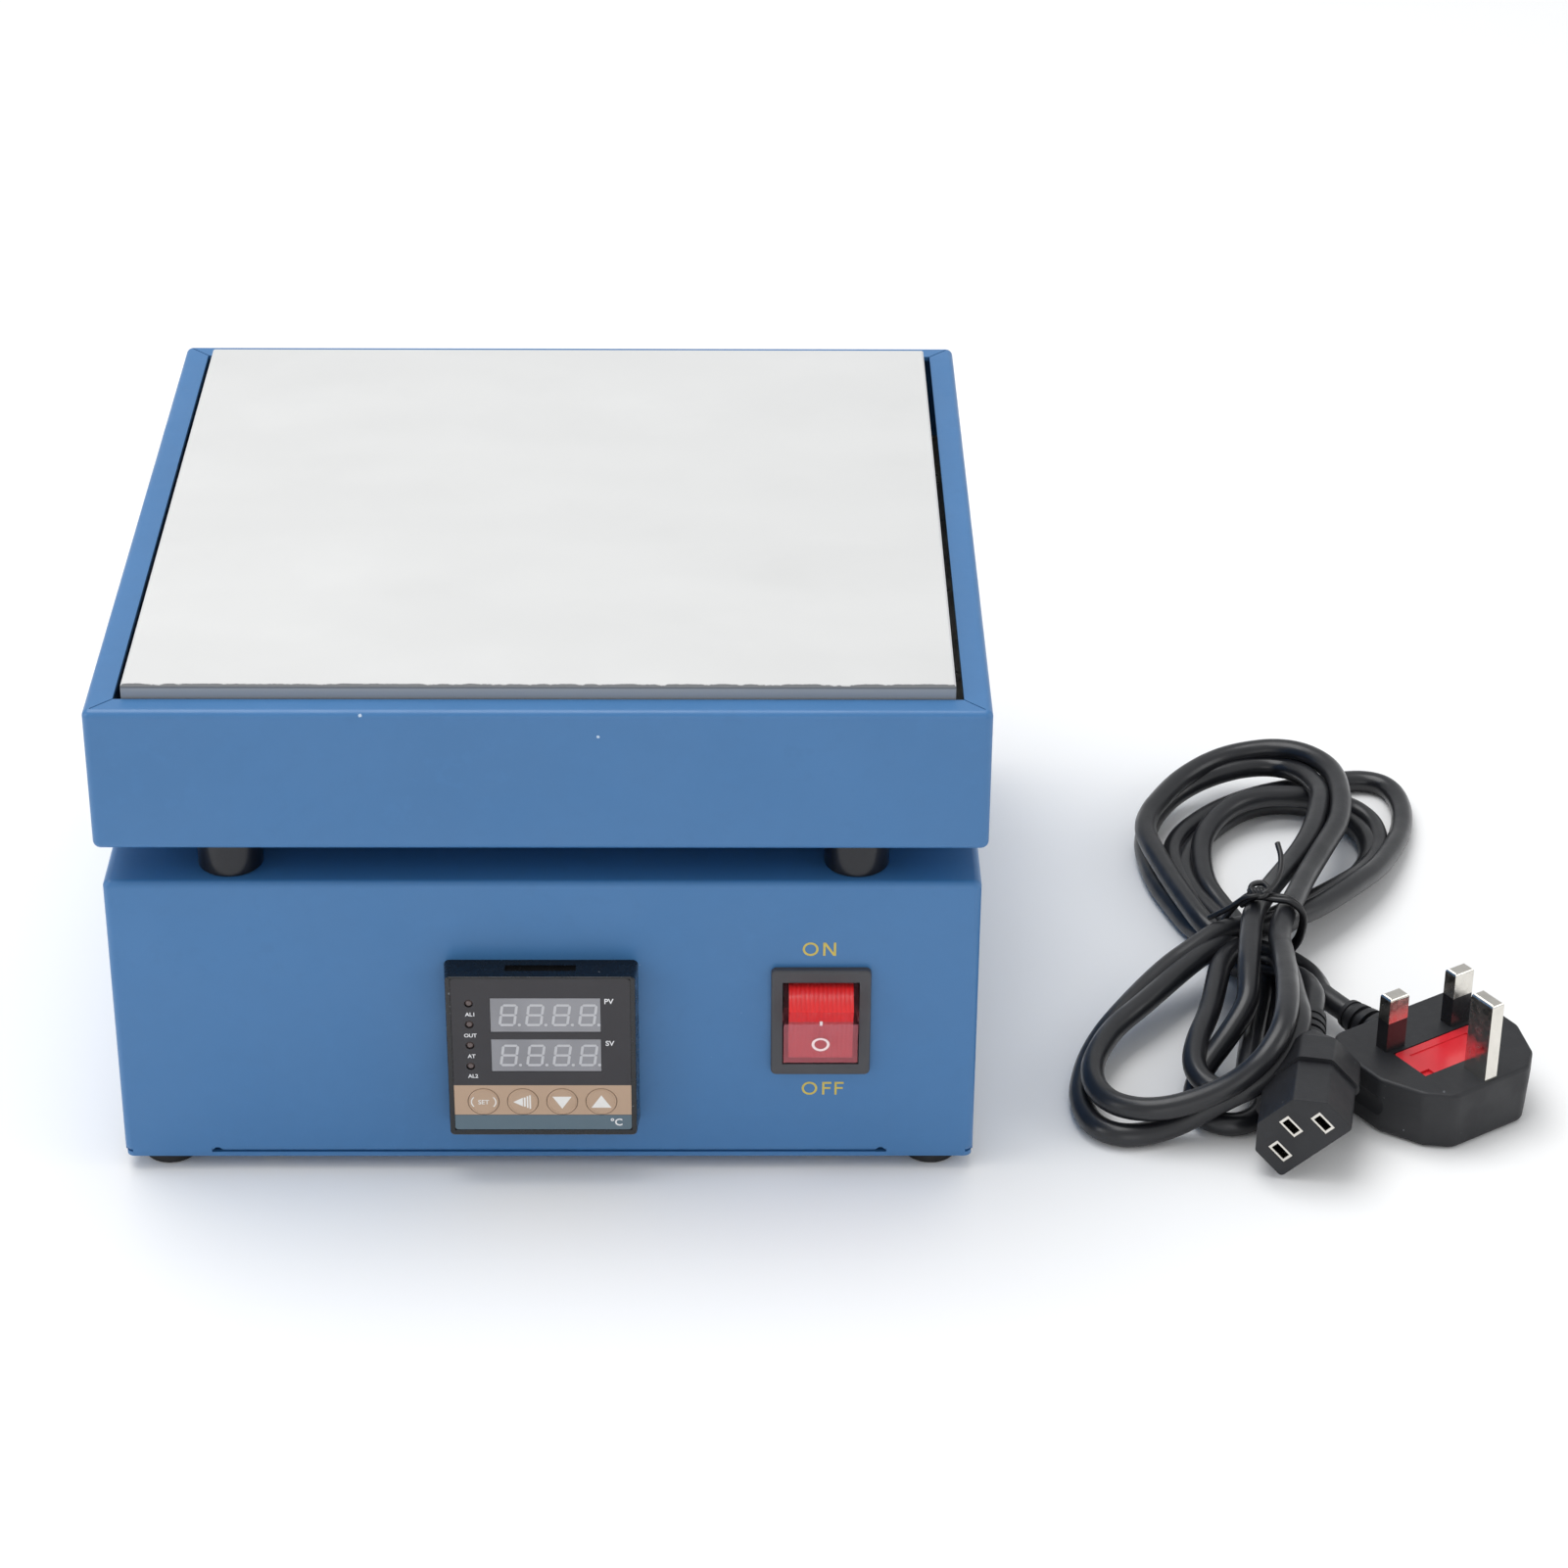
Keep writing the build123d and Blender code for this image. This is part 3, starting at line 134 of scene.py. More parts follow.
class Finish:
    """A material and short ways to add grain, mottling and relief to it."""

    def __init__(self, name, base, roughness=0.5, metallic=0.0, coat=0.0):
        self.material = bpy.data.materials.new(name)
        self.material.use_nodes = True
        tree = self.material.node_tree
        self.nodes, self.links = tree.nodes, tree.links
        self.shader = self.nodes["Principled BSDF"]
        for socket, value in (("Base Color", base), ("Roughness", roughness), ("Metallic", metallic),
                              ("Coat Weight", coat), ("Coat Roughness", 0.15)):
            self.shader.inputs[socket].default_value = value
        self.place = self.nodes.new("ShaderNodeTexCoord").outputs["Object"]
        self.base = base
        self.colour = None
        self.height = None

    def math(self, kind, first, second=None):
        """A sum of one or two values, each a number or a socket."""
        node = self.nodes.new("ShaderNodeMath")
        node.operation = kind
        for socket, value in zip(node.inputs, (first, second)):
            if value is None:
                continue
            if isinstance(value, (int, float)):
                socket.default_value = value
            else:
                self.links.new(value, socket)
        return node.outputs[0]

    def noise(self, size, detail, stretch=(1, 1, 1), seed=0.0):
        """Noise whose bumps are about size metres across, longer where stretch is more than one."""
        mapping = self.nodes.new("ShaderNodeMapping")
        mapping.inputs["Scale"].default_value = [1 / s for s in stretch]
        mapping.inputs["Location"].default_value = (seed, seed * 0.7, seed * 0.3)
        self.links.new(self.place, mapping.inputs["Vector"])
        node = self.nodes.new("ShaderNodeTexNoise")
        node.inputs["Scale"].default_value = 1 / size
        node.inputs["Detail"].default_value = detail
        node.inputs["Roughness"].default_value = 0.55
        self.links.new(mapping.outputs[0], node.inputs["Vector"])
        return node.outputs["Fac"]

    def ramp(self, value, low, high, to_low=0.0, to_high=1.0, smooth=True):
        """value between low and high, carried to between to_low and to_high."""
        node = self.nodes.new("ShaderNodeMapRange")
        node.interpolation_type = "SMOOTHSTEP" if smooth else "LINEAR"
        for name, number in (("From Min", low), ("From Max", high), ("To Min", to_low), ("To Max", to_high)):
            node.inputs[name].default_value = number
        self.links.new(value, node.inputs["Value"])
        return node.outputs["Result"]

    def axis(self, name):
        """One of the place's three coordinates."""
        node = self.nodes.new("ShaderNodeSeparateXYZ")
        self.links.new(self.place, node.inputs[0])
        return node.outputs[name]

    def paint(self, mask, colour):
        """Lays colour over what is there, as far as mask says."""
        node = self.nodes.new("ShaderNodeMix")
        node.data_type = "RGBA"
        self.links.new(mask, node.inputs["Factor"])
        under, over = node.inputs[6], node.inputs[7]
        if self.colour is None:
            under.default_value = self.base
        else:
            self.links.new(self.colour, under)
        over.default_value = colour
        self.colour = node.outputs[2]
        self.links.new(self.colour, self.shader.inputs["Base Color"])
        return self

    def mottle(self, size, amount, seed=0.0, stretch=(1, 1, 1)):
        """The colour a little lighter and darker in patches."""
        darker = tuple(c * (1 - amount) for c in self.base[:3]) + (1.0,)
        lighter = tuple(min(1.0, c * (1 + amount)) for c in self.base[:3]) + (1.0,)
        cloud = self.noise(size, 4.0, stretch, seed=seed)
        self.paint(self.ramp(cloud, 0.5, 0.25), darker)
        return self.paint(self.ramp(cloud, 0.5, 0.75), lighter)

    def relief(self, value, depth):
        """Bump of the given depth in metres, added to any there is."""
        node = self.nodes.new("ShaderNodeBump")
        node.inputs["Strength"].default_value = 1.0
        node.inputs["Distance"].default_value = depth
        self.links.new(value, node.inputs["Height"])
        if self.height is not None:
            self.links.new(self.height, node.inputs["Normal"])
        self.height = node.outputs["Normal"]
        self.links.new(self.height, self.shader.inputs["Normal"])
        return self

    def sheen_patches(self, size, low, high, seed=0.0, stretch=(1, 1, 1)):
        """Roughness that wanders between low and high."""
        self.links.new(self.ramp(self.noise(size, 3.0, stretch, seed=seed), 0.3, 0.7, low, high),
                       self.shader.inputs["Roughness"])
        return self

    def spot(self, centre, radius):
        """A mask that is one within a spot whose edge wanders by a third of its radius."""
        ragged = radius * 0.35
        node = self.nodes.new("ShaderNodeVectorMath")
        node.operation = "DISTANCE"
        self.links.new(self.place, node.inputs[0])
        node.inputs[1].default_value = centre
        cloud = self.noise(radius * 0.8, 3.0, seed=centre[0] * 9)
        wander = self.ramp(cloud, 0.3, 0.7, -ragged, ragged, smooth=False)
        return self.ramp(self.math("ADD", node.outputs["Value"], wander), radius, radius * 0.9)

    def between(self, value, low, high, edge):
        """A mask that is one where value lies between low and high."""
        return self.math("MULTIPLY", self.ramp(value, low, low + edge), self.ramp(value, high, high - edge))


def dress(finish, *names):
    """Gives finished CAD nodes their material."""
    for name in names:
        mesh = NODES[name].data
        mesh.materials.clear()
        mesh.materials.append(finish.material)


def steel_finish(name, base):
    """Plated metal with a fine brushing from left to right."""
    finish = Finish(name, base, 0.34, metallic=0.9)
    finish.mottle(0.006, 0.10).sheen_patches(0.004, 0.26, 0.46, 1.0)
    return finish.relief(finish.noise(0.0004, 2.0, (8, 1, 1)), 0.00001)


def moulded_finish(name, base, roughness=0.45, grain=0.0005, depth=0.00001, coat=0.0):
    """Plastic, rubber or board with a moulded grain of the given size and depth."""
    finish = Finish(name, base, roughness, coat=coat)
    finish.mottle(0.012, 0.07, 2.0).sheen_patches(0.009, roughness * 0.85, min(1.0, roughness * 1.2), 3.0)
    return finish.relief(finish.noise(grain, 2.0), depth)


# Shapes

def raw_mesh(name, places, faces):
    """A mesh from an array of places and a list of faces."""
    mesh = bpy.data.meshes.new(name)
    mesh.from_pydata(places.tolist(), [], faces)
    mesh.update()
    return mesh


def grid_mesh(name, points, closed_u=False, closed_v=False, capped=False):
    """Quads over a grid of points, an array of rows by columns by 3, joined end to end where closed.

    Capped, the first and the last row each get one flat face.
    """
    rows, columns = points.shape[:2]
    index = np.arange(rows * columns).reshape(rows, columns)
    down = np.roll(index, -1, 0) if closed_u else index[1:]
    top = index if closed_u else index[:-1]
    if closed_v:
        quads = np.stack([top, np.roll(top, -1, 1), np.roll(down, -1, 1), down], -1)
    else:
        quads = np.stack([top[:, :-1], top[:, 1:], down[:, 1:], down[:, :-1]], -1)
    faces = quads.reshape(-1, 4).tolist()
    if capped:
        faces += [index[0, ::-1].tolist(), index[-1].tolist()]
    return raw_mesh(name, points.reshape(-1, 3), faces)


def place_piece(mesh, name, finish, body=STAND, smooth=True):
    """Puts a finished mesh in the scene, on its body."""
    piece = bpy.data.objects.new(name, mesh)
    bpy.context.scene.collection.objects.link(piece)
    mesh.materials.clear()
    mesh.materials.append(finish.material)
    if smooth:
        mesh.shade_smooth()
    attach(piece, body)
    return piece


def joined(meshes, name):
    """Several meshes as one."""
    whole = bmesh.new()
    for mesh in meshes:
        whole.from_mesh(mesh)
    out = bpy.data.meshes.new(name)
    whole.to_mesh(out)
    whole.free()
    return out


def prism(outline, front, back):
    """A solid of one flat outline: each (x, z) of it at y = front and at y = back, two caps and a wall."""
    flat = np.asarray(outline, float)
    count = len(flat)
    if np.sum(flat[:, 0] * np.roll(flat[:, 1], -1) - np.roll(flat[:, 0], -1) * flat[:, 1]) < 0:
        flat = flat[::-1]
    near = np.column_stack([flat[:, 0], np.full(count, front), flat[:, 1]])
    far = near.copy()
    far[:, 1] = back
    around = np.arange(count)
    wall = np.stack([around, around + count, (around + 1) % count + count, (around + 1) % count], -1)
    faces = [list(around), list(around[::-1] + count)] + wall.tolist()
    return raw_mesh("prism", np.vstack([near, far]), faces)


def circle(steps):
    """Even angles round a full turn, and their cosines and sines."""
    angle = np.linspace(0, 2 * np.pi, steps, endpoint=False)
    return np.cos(angle), np.sin(angle)


def ring_print(centre, outer, inner, front, back):
    """A flat ring facing the user: its section, a thin rectangle, carried round a circle.

    At each angle x is the centre's plus radius times cosine, z the centre's plus radius times sine.
    """
    cosine, sine = circle(48)
    section = np.array([(outer, front), (outer, back), (inner, back), (inner, front)])
    radius, depth = section[:, 0], section[:, 1]
    points = np.stack([centre[0] + cosine[:, None] * radius,
                       np.broadcast_to(depth, (len(cosine), 4)),
                       centre[1] + sine[:, None] * radius], -1)
    return grid_mesh("ring", points, closed_u=True, closed_v=True)


def bar(x0, x1, z0, z1, front, back):
    """A thin upright block between two x, two z and two y."""
    return prism([(x0, z0), (x1, z0), (x1, z1), (x0, z1)], front, back)


def printed_text(words, centre, height, front, bold):
    """Lettering facing the user, height being that of a capital.

    The font's x goes to x, its y to z and its depth of one to the print's thickness, towards the user.
    """
    curve = bpy.data.curves.new("letters", "FONT")
    curve.body = words
    curve.align_x = "CENTER"
    curve.align_y = "CENTER"
    curve.size = 1.0
    curve.offset = bold
    curve.extrude = 0.5
    curve.resolution_u = 4
    holder = bpy.data.objects.new("letters", curve)
    bpy.context.scene.collection.objects.link(holder)
    bpy.context.view_layer.update()
    mesh = bpy.data.meshes.new_from_object(holder)
    bpy.data.objects.remove(holder)
    bpy.data.curves.remove(curve)
    flat = np.empty(len(mesh.vertices) * 3)
    mesh.vertices.foreach_get("co", flat)
    flat = flat.reshape(-1, 3)
    low, high = flat.min(0), flat.max(0)
    scale = height / (high[1] - low[1])
    middle = (low + high) / 2
    out = np.column_stack([centre[0] + (flat[:, 0] - middle[0]) * scale,
                           front - (flat[:, 2] + 0.5) * PRINT_THICK,
                           centre[1] + (flat[:, 1] - middle[1]) * scale])
    mesh.vertices.foreach_set("co", out.reshape(-1))
    mesh.update()
    return mesh


def tube_mesh(centres, radius, around):
    """A round tube: at each centre a circle square to the line, joined into a skin and closed at both ends.

    The circle's first spoke is the last one's less its part along the line, the other spoke is square to
    both, and a point is the centre plus radius times cosine of one plus sine of the other.
    """
    ahead = np.gradient(centres, axis=0)
    ahead /= np.linalg.norm(ahead, axis=1)[:, None]
    side = np.empty_like(centres)
    side[0] = np.cross(ahead[0], (0.3, 0.2, 0.93))
    for i in range(1, len(centres)):
        side[i] = side[i - 1] - ahead[i] * np.dot(side[i - 1], ahead[i])
    side /= np.linalg.norm(side, axis=1)[:, None]
    other = np.cross(ahead, side)
    cosine, sine = circle(around)
    ring = cosine[None, :, None] * side[:, None] + sine[None, :, None] * other[:, None]
    return grid_mesh("tube", centres[:, None] + ring * radius, closed_v=True, capped=True)


def smooth_line(keys, steps):
    """A smooth line through given keys: between two keys a cubic that leaves and meets each key along
    the line from the key before it to the key after it.
    """
    keys = np.asarray(keys, float)
    ends = np.vstack([2 * keys[0] - keys[1], keys, 2 * keys[-1] - keys[-2]])
    u = np.linspace(0, len(keys) - 1, steps)
    i = np.minimum(u.astype(int), len(keys) - 2)
    t = (u - i)[:, None]
    a, b, c, d = ends[i], ends[i + 1], ends[i + 2], ends[i + 3]
    square, cube = 2 * a - 5 * b + 4 * c - d, 3 * b - a - 3 * c + d
    return 0.5 * (2 * b + (c - a) * t + square * t ** 2 + cube * t ** 3)


# Cabinet and plate

# Bare spots in the paint: x and z in metres, radius.
PAINT_CHIPS = [(-0.0423, 0.1322, 0.0006), (0.0143, 0.1265, 0.0004)]


class HOTPLATE_OT_paint_cabinet(Operator):
    """Powder-coats the folded cover, the cabinet and its base plate."""
    bl_idname = "hotplate.paint_cabinet"
    bl_label = "Paint cabinet"

    def execute(self, context):
        look = context.scene.cabinet_look
        paint = Finish("blue_powder_coat", look.paint, 0.42, coat=0.12)
        paint.mottle(0.05, 0.045)
        paint.mottle(0.004, 0.02, 5.0)
        paint.sheen_patches(0.02, 0.36, 0.48, 2.0)
        paint.relief(paint.noise(look.paint_grain, 2.0), 0.000012)
        paint.relief(paint.noise(0.03, 1.0, seed=4.0), 0.00012)
        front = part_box("upper_cover")[0][1]
        for x, z, radius in PAINT_CHIPS:
            paint.paint(paint.spot((x, front, z), radius), srgb(186, 204, 224))
        specks = paint.ramp(paint.noise(0.0024, 1.0, seed=8.0), 0.84, 0.86)
        paint.paint(specks, srgb(120, 156, 198))
        dress(paint, "upper_cover", "base_shell", "base_plate")
        return {"FINISHED"}


class HOTPLATE_OT_mill_plate(Operator):
    """Gives the heating plate its fine milled face, a darker strip along its front edge and painted shade on
    its sides.
    """
    bl_idname = "hotplate.mill_plate"
    bl_label = "Mill plate"

    def execute(self, context):
        look = context.scene.cabinet_look
        plate = Finish("milled_aluminium", look.plate, 0.4, metallic=0.35)
        plate.mottle(0.035, 0.02)
        plate.sheen_patches(0.03, 0.4, 0.46, 3.0, (3, 1, 1))
        plate.relief(plate.noise(0.0003, 2.0, (40, 1, 1)), 0.000004)
        low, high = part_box("heating_plate")
        depth = plate.axis("Y")
        wander = plate.ramp(plate.noise(0.004, 3.0, seed=6.0), 0.3, 0.7, -0.0003, 0.0003, smooth=False)
        edge = plate.math("ADD", depth, wander)
        # A darker strip along the plate's front edge.
        plate.paint(plate.ramp(edge, low[1] + 0.0006, low[1] + 0.0004), srgb(120, 122, 124))
        # Painted shade: all below the top face, on the sides and front, is painted darker than the top.
        side = plate.ramp(plate.axis("Z"), high[2] - 0.0007, high[2] - 0.0012)
        plate.paint(side, srgb(168, 170, 172))
        dress(plate, "heating_plate")
        return {"FINISHED"}


class HOTPLATE_OT_fit_hardware(Operator):
    """Finishes standoffs, feet, screws and what is hidden inside."""
    bl_idname = "hotplate.fit_hardware"
    bl_label = "Fit hardware"

    def execute(self, context):
        zinc = steel_finish("zinc_plate", context.scene.cabinet_look.zinc)
        dress(zinc, "plate_pillars", "plate_screws", "cover_tray", "standoff_screws", "standoff_nuts",
              "base_screws", "foot_studs", "clamp_screws", "inlet_screws", "heater_cartridges",
              "thermocouple_probe")
        black = Finish("black_turned_metal", srgb(30, 31, 36), 0.28, metallic=0.55, coat=0.3)
        black.mottle(0.004, 0.1).relief(black.noise(0.0006, 2.0, (1, 1, 0.2)), 0.00001)
        dress(black, "standoffs")
        rubber = moulded_finish("foot_rubber", srgb(30, 30, 31), 0.75, 0.0004, 0.00003)
        dress(rubber, "feet", "deck_grommet")
        board = moulded_finish("circuit_board", srgb(38, 92, 58), 0.4, 0.002, 0.00004)
        dress(board, "display_board", "controller_board")
        fibre = moulded_finish("fibre_board", srgb(222, 216, 200), 0.95, 0.001, 0.0002)
        dress(fibre, "insulation_board")
        sleeving = moulded_finish("woven_sleeving", srgb(150, 148, 142), 0.8, 0.0004, 0.0001)
        dress(sleeving, "heater_leads", "sensor_lead", "base_wires")
        dark = moulded_finish("case_moulding", srgb(40, 41, 44), 0.5)
        dress(dark, "controller_case", "controller_terminals", "controller_clamp", "relay_module",
              "terminal_block", "display_module", "key_switches", "inlet_body")
        brass = steel_finish("plated_brass", srgb(214, 190, 120))
        dress(brass, "earth_stud", "terminal_screws", "switch_terminals", "inlet_pins")
        return {"FINISHED"}


# Control panel. The facia's print is drawn in millimetres from the middle of the bezel.

KEY_BAND_HIGH, KEY_BAND_LOW, FOOT_BAND_LOW = -8.36, -17.29, -21.75
FACIA_WORDS = [("PV", 16.9, 16.4, 1.5), ("SV", 17.0, 4.1, 1.5), ("AL1", -17.5, 12.6, 1.1),
               ("OUT", -17.5, 6.4, 1.1), ("AT", -17.4, 0.3, 1.1), ("AL2", -17.2, -5.6, 1.1),
               ("°C", 18.3, -19.4, 2.2)]
DIGIT_ROWS, DIGIT_COLUMNS, DIGIT_TALL = (12.3, 0.45), (-8.0, -1.45, 5.1, 11.65), 6.4
DIGIT_WIDE, DIGIT_PEN, DIGIT_LEAN = 0.56, 0.105, 0.13
DIGIT_BARS = [((-1, 1), (1, 1)), ((1, 1), (1, 0)), ((1, 0), (1, -1)), ((1, -1), (-1, -1)),
              ((-1, -1), (-1, 0)), ((-1, 0), (-1, 1)), ((-1, 0), (1, 0))]
KEY_RING_RADIUS, KEY_RING_THICK = 0.0033, 0.00012
KEYS = {"key_set": "set_key", "key_shift": "shift_key", "key_down": "down_key", "key_up": "up_key"}


class HOTPLATE_OT_finish_controller(Operator):
    """Finishes the controller's bezel, facia, windows, lamps and keys, and prints its facia."""
    bl_idname = "hotplate.finish_controller"
    bl_label = "Finish controller"

    def execute(self, context):
        look = context.scene.panel_look
        bezel = Finish("gloss_bezel", srgb(14, 15, 18), 0.3, coat=0.2)
        bezel.mottle(0.006, 0.2).sheen_patches(0.003, 0.16, 0.34, 2.0)
        bezel.relief(bezel.noise(0.001, 2.0), 0.00001)
        bezel.paint(bezel.ramp(bezel.noise(0.0016, 1.0, seed=3.0), 0.78, 0.81), srgb(96, 100, 104))
        dress(bezel, "controller_bezel")
        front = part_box("controller_facia")[0][1]
        middle_x, middle_z = self.middle()
        facia = Finish("facia_film", look.label, 0.42)
        height = facia.axis("Z")
        edge = 0.00012
        key_top, key_foot, foot = (middle_z + z * MM for z in (KEY_BAND_HIGH, KEY_BAND_LOW, FOOT_BAND_LOW))
        clouds = facia.ramp(facia.noise(0.01, 3.0), 0.3, 0.7, 0.0, 0.25)
        facia.paint(clouds, srgb(54, 52, 56))
        facia.paint(facia.between(height, key_foot, key_top, edge), look.key_band)
        facia.paint(facia.ramp(height, key_foot, key_foot - edge), look.foot_band)
        facia.paint(facia.ramp(height, foot, foot - edge), srgb(22, 22, 24))
        facia.relief(facia.noise(0.0004, 2.0), 0.000006)
        dress(facia, "controller_facia")
        keys = Finish("key_film", look.key_band, 0.42)
        keys.mottle(0.004, 0.04).relief(keys.noise(0.0004, 2.0), 0.000006)
        dress(keys, "key_set", "key_shift", "key_down", "key_up")
        window = Finish("dark_window", look.window, 0.16, coat=0.5)
        window.mottle(0.008, 0.06)
        # Painted reflection: soft lighter patches, taller than wide, on the glossy display windows.
        painted_reflection = window.ramp(window.noise(0.02, 2.0, (1, 1, 2), seed=2.0), 0.35, 0.7)
        window.paint(painted_reflection, srgb(142, 142, 147))
        dress(window, "display_windows")
        lamp = Finish("unlit_lamp", srgb(92, 78, 76), 0.3, coat=0.3)
        lamp.mottle(0.0008, 0.15)
        dress(lamp, "indicator_lamps")
        self.print_facia(front, middle_x, middle_z)
        self.print_keys()
        return {"FINISHED"}

    def middle(self):
        """The x and z of the bezel's middle."""
        low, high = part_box("controller_bezel")
        return (low[0] + high[0]) / 2, (low[2] + high[2]) / 2

    def print_facia(self, front, middle_x, middle_z):
        """Prints the facia's words and the windows' unlit figures."""
        white = Finish("white_print", srgb(228, 228, 230), 0.5)
        white.mottle(0.002, 0.05)
        at = front - PRINT_GAP
        meshes = [printed_text(text, (middle_x + x * MM, middle_z + z * MM), tall * MM, at, 0.02)
                  for text, x, z, tall in FACIA_WORDS]
        place_piece(joined(meshes, "facia_legends"), "facia_legends", white, smooth=False)
        segments = Finish("unlit_segments", srgb(188, 188, 192), 0.35, coat=0.3)
        segments.mottle(0.001, 0.05)
        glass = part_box("display_windows")[0][1] - PRINT_GAP
        meshes = [self.digit(middle_x + x * MM, middle_z + z * MM, DIGIT_TALL * MM, glass)
                  for z in DIGIT_ROWS for x in DIGIT_COLUMNS]
        digits = joined(meshes, "display_digits")
        place_piece(digits, "display_digits", segments, smooth=False)

    def digit(self, x, z, tall, front):
        """An unlit figure of seven slanted bars and a point: each bar a hexagon along its own line."""
        middle, pen, half = tall * DIGIT_WIDE / 2, tall * DIGIT_PEN, tall / 2
        back = front + PRINT_THICK / 2
        meshes = []
        for a, b in DIGIT_BARS:
            a = np.array(a) * (middle, half - pen / 2)
            b = np.array(b) * (middle, half - pen / 2)
            along = (b - a) / np.linalg.norm(b - a)
            across = np.array([-along[1], along[0]]) * pen / 2
            a, b = a + along * pen * 0.55, b - along * pen * 0.55
            outline = np.array([a - along * pen * 0.45, a + across, b + across, b + along * pen * 0.45,
                                b - across, a - across])
            outline += np.column_stack([outline[:, 1] * DIGIT_LEAN, outline[:, 1] * 0])
            meshes.append(prism(outline + (x, z), front, back))
        dot = np.column_stack(circle(12)) * pen * 0.6 + (middle + pen * 1.3, -half + pen / 2)
        meshes.append(prism(dot + (x, z), front, back))
        return joined(meshes, "digit")

    def print_keys(self):
        """Symbols and an embossed ring on each key: the ring a round wire bent into a circle."""
        white = Finish("key_symbols", srgb(232, 230, 226), 0.5)
        white.mottle(0.002, 0.04)
        rim = Finish("key_emboss", srgb(187, 159, 135), 0.42)
        rim.mottle(0.002, 0.04)
        cosine, sine = circle(64)
        out = np.column_stack([cosine, np.zeros(64), sine])
        thick_cosine, thick_sine = circle(8)
        for node, body in KEYS.items():
            low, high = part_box(node)
            x, z, front = (low[0] + high[0]) / 2, (low[2] + high[2]) / 2, low[1] - 0.00002
            symbol = joined(getattr(self, node)(x, z, front, front + PRINT_THICK), node + "_symbol")
            place_piece(symbol, node + "_symbol", white, body, smooth=False)
            path = out * KEY_RING_RADIUS + (x, front + PRINT_THICK, z)
            points = path[:, None] + KEY_RING_THICK * (thick_cosine[None, :, None] * out[:, None]
                                                       + thick_sine[None, :, None] * np.array([0, 1, 0]))
            place_piece(grid_mesh("emboss", points, True, True), node + "_ring", rim, body)

    def key_set(self, x, z, front, back):
        """A word between two arcs."""
        word = printed_text("SET", (x, z), 0.0013, front, 0.015)
        arcs = []
        for side in (-1, 1):
            turn = np.linspace(-0.85, 0.85, 12)
            outer = np.column_stack([side * (0.0012 + 0.0020 * np.cos(turn)), 0.0020 * np.sin(turn)])
            inner = np.column_stack([side * (0.0012 + 0.0017 * np.cos(turn)), 0.0017 * np.sin(turn)])[::-1]
            arcs.append(prism(np.vstack([outer, inner]) + (x, z), front, back))
        return [word] + arcs

    def key_shift(self, x, z, front, back):
        """A triangle to the left with three upright bars behind it."""
        bars = [bar(x + a * MM, x + b * MM, z - h * MM, z + h * MM, front, back)
                for a, b, h in ((0.2, 0.7, 1.35), (0.95, 1.35, 1.75), (1.6, 2.0, 2.0))]
        return [prism([(x - 0.0024, z), (x, z - 0.0013), (x, z + 0.0013)], front, back)] + bars

    def key_down(self, x, z, front, back):
        """A triangle on its tip."""
        return [prism([(x - 0.0024, z + 0.0016), (x, z - 0.0020), (x + 0.0024, z + 0.0016)], front, back)]

    def key_up(self, x, z, front, back):
        """A triangle on its side."""
        return [prism([(x - 0.0025, z - 0.0017), (x + 0.0025, z - 0.0017), (x, z + 0.0020)], front, back)]


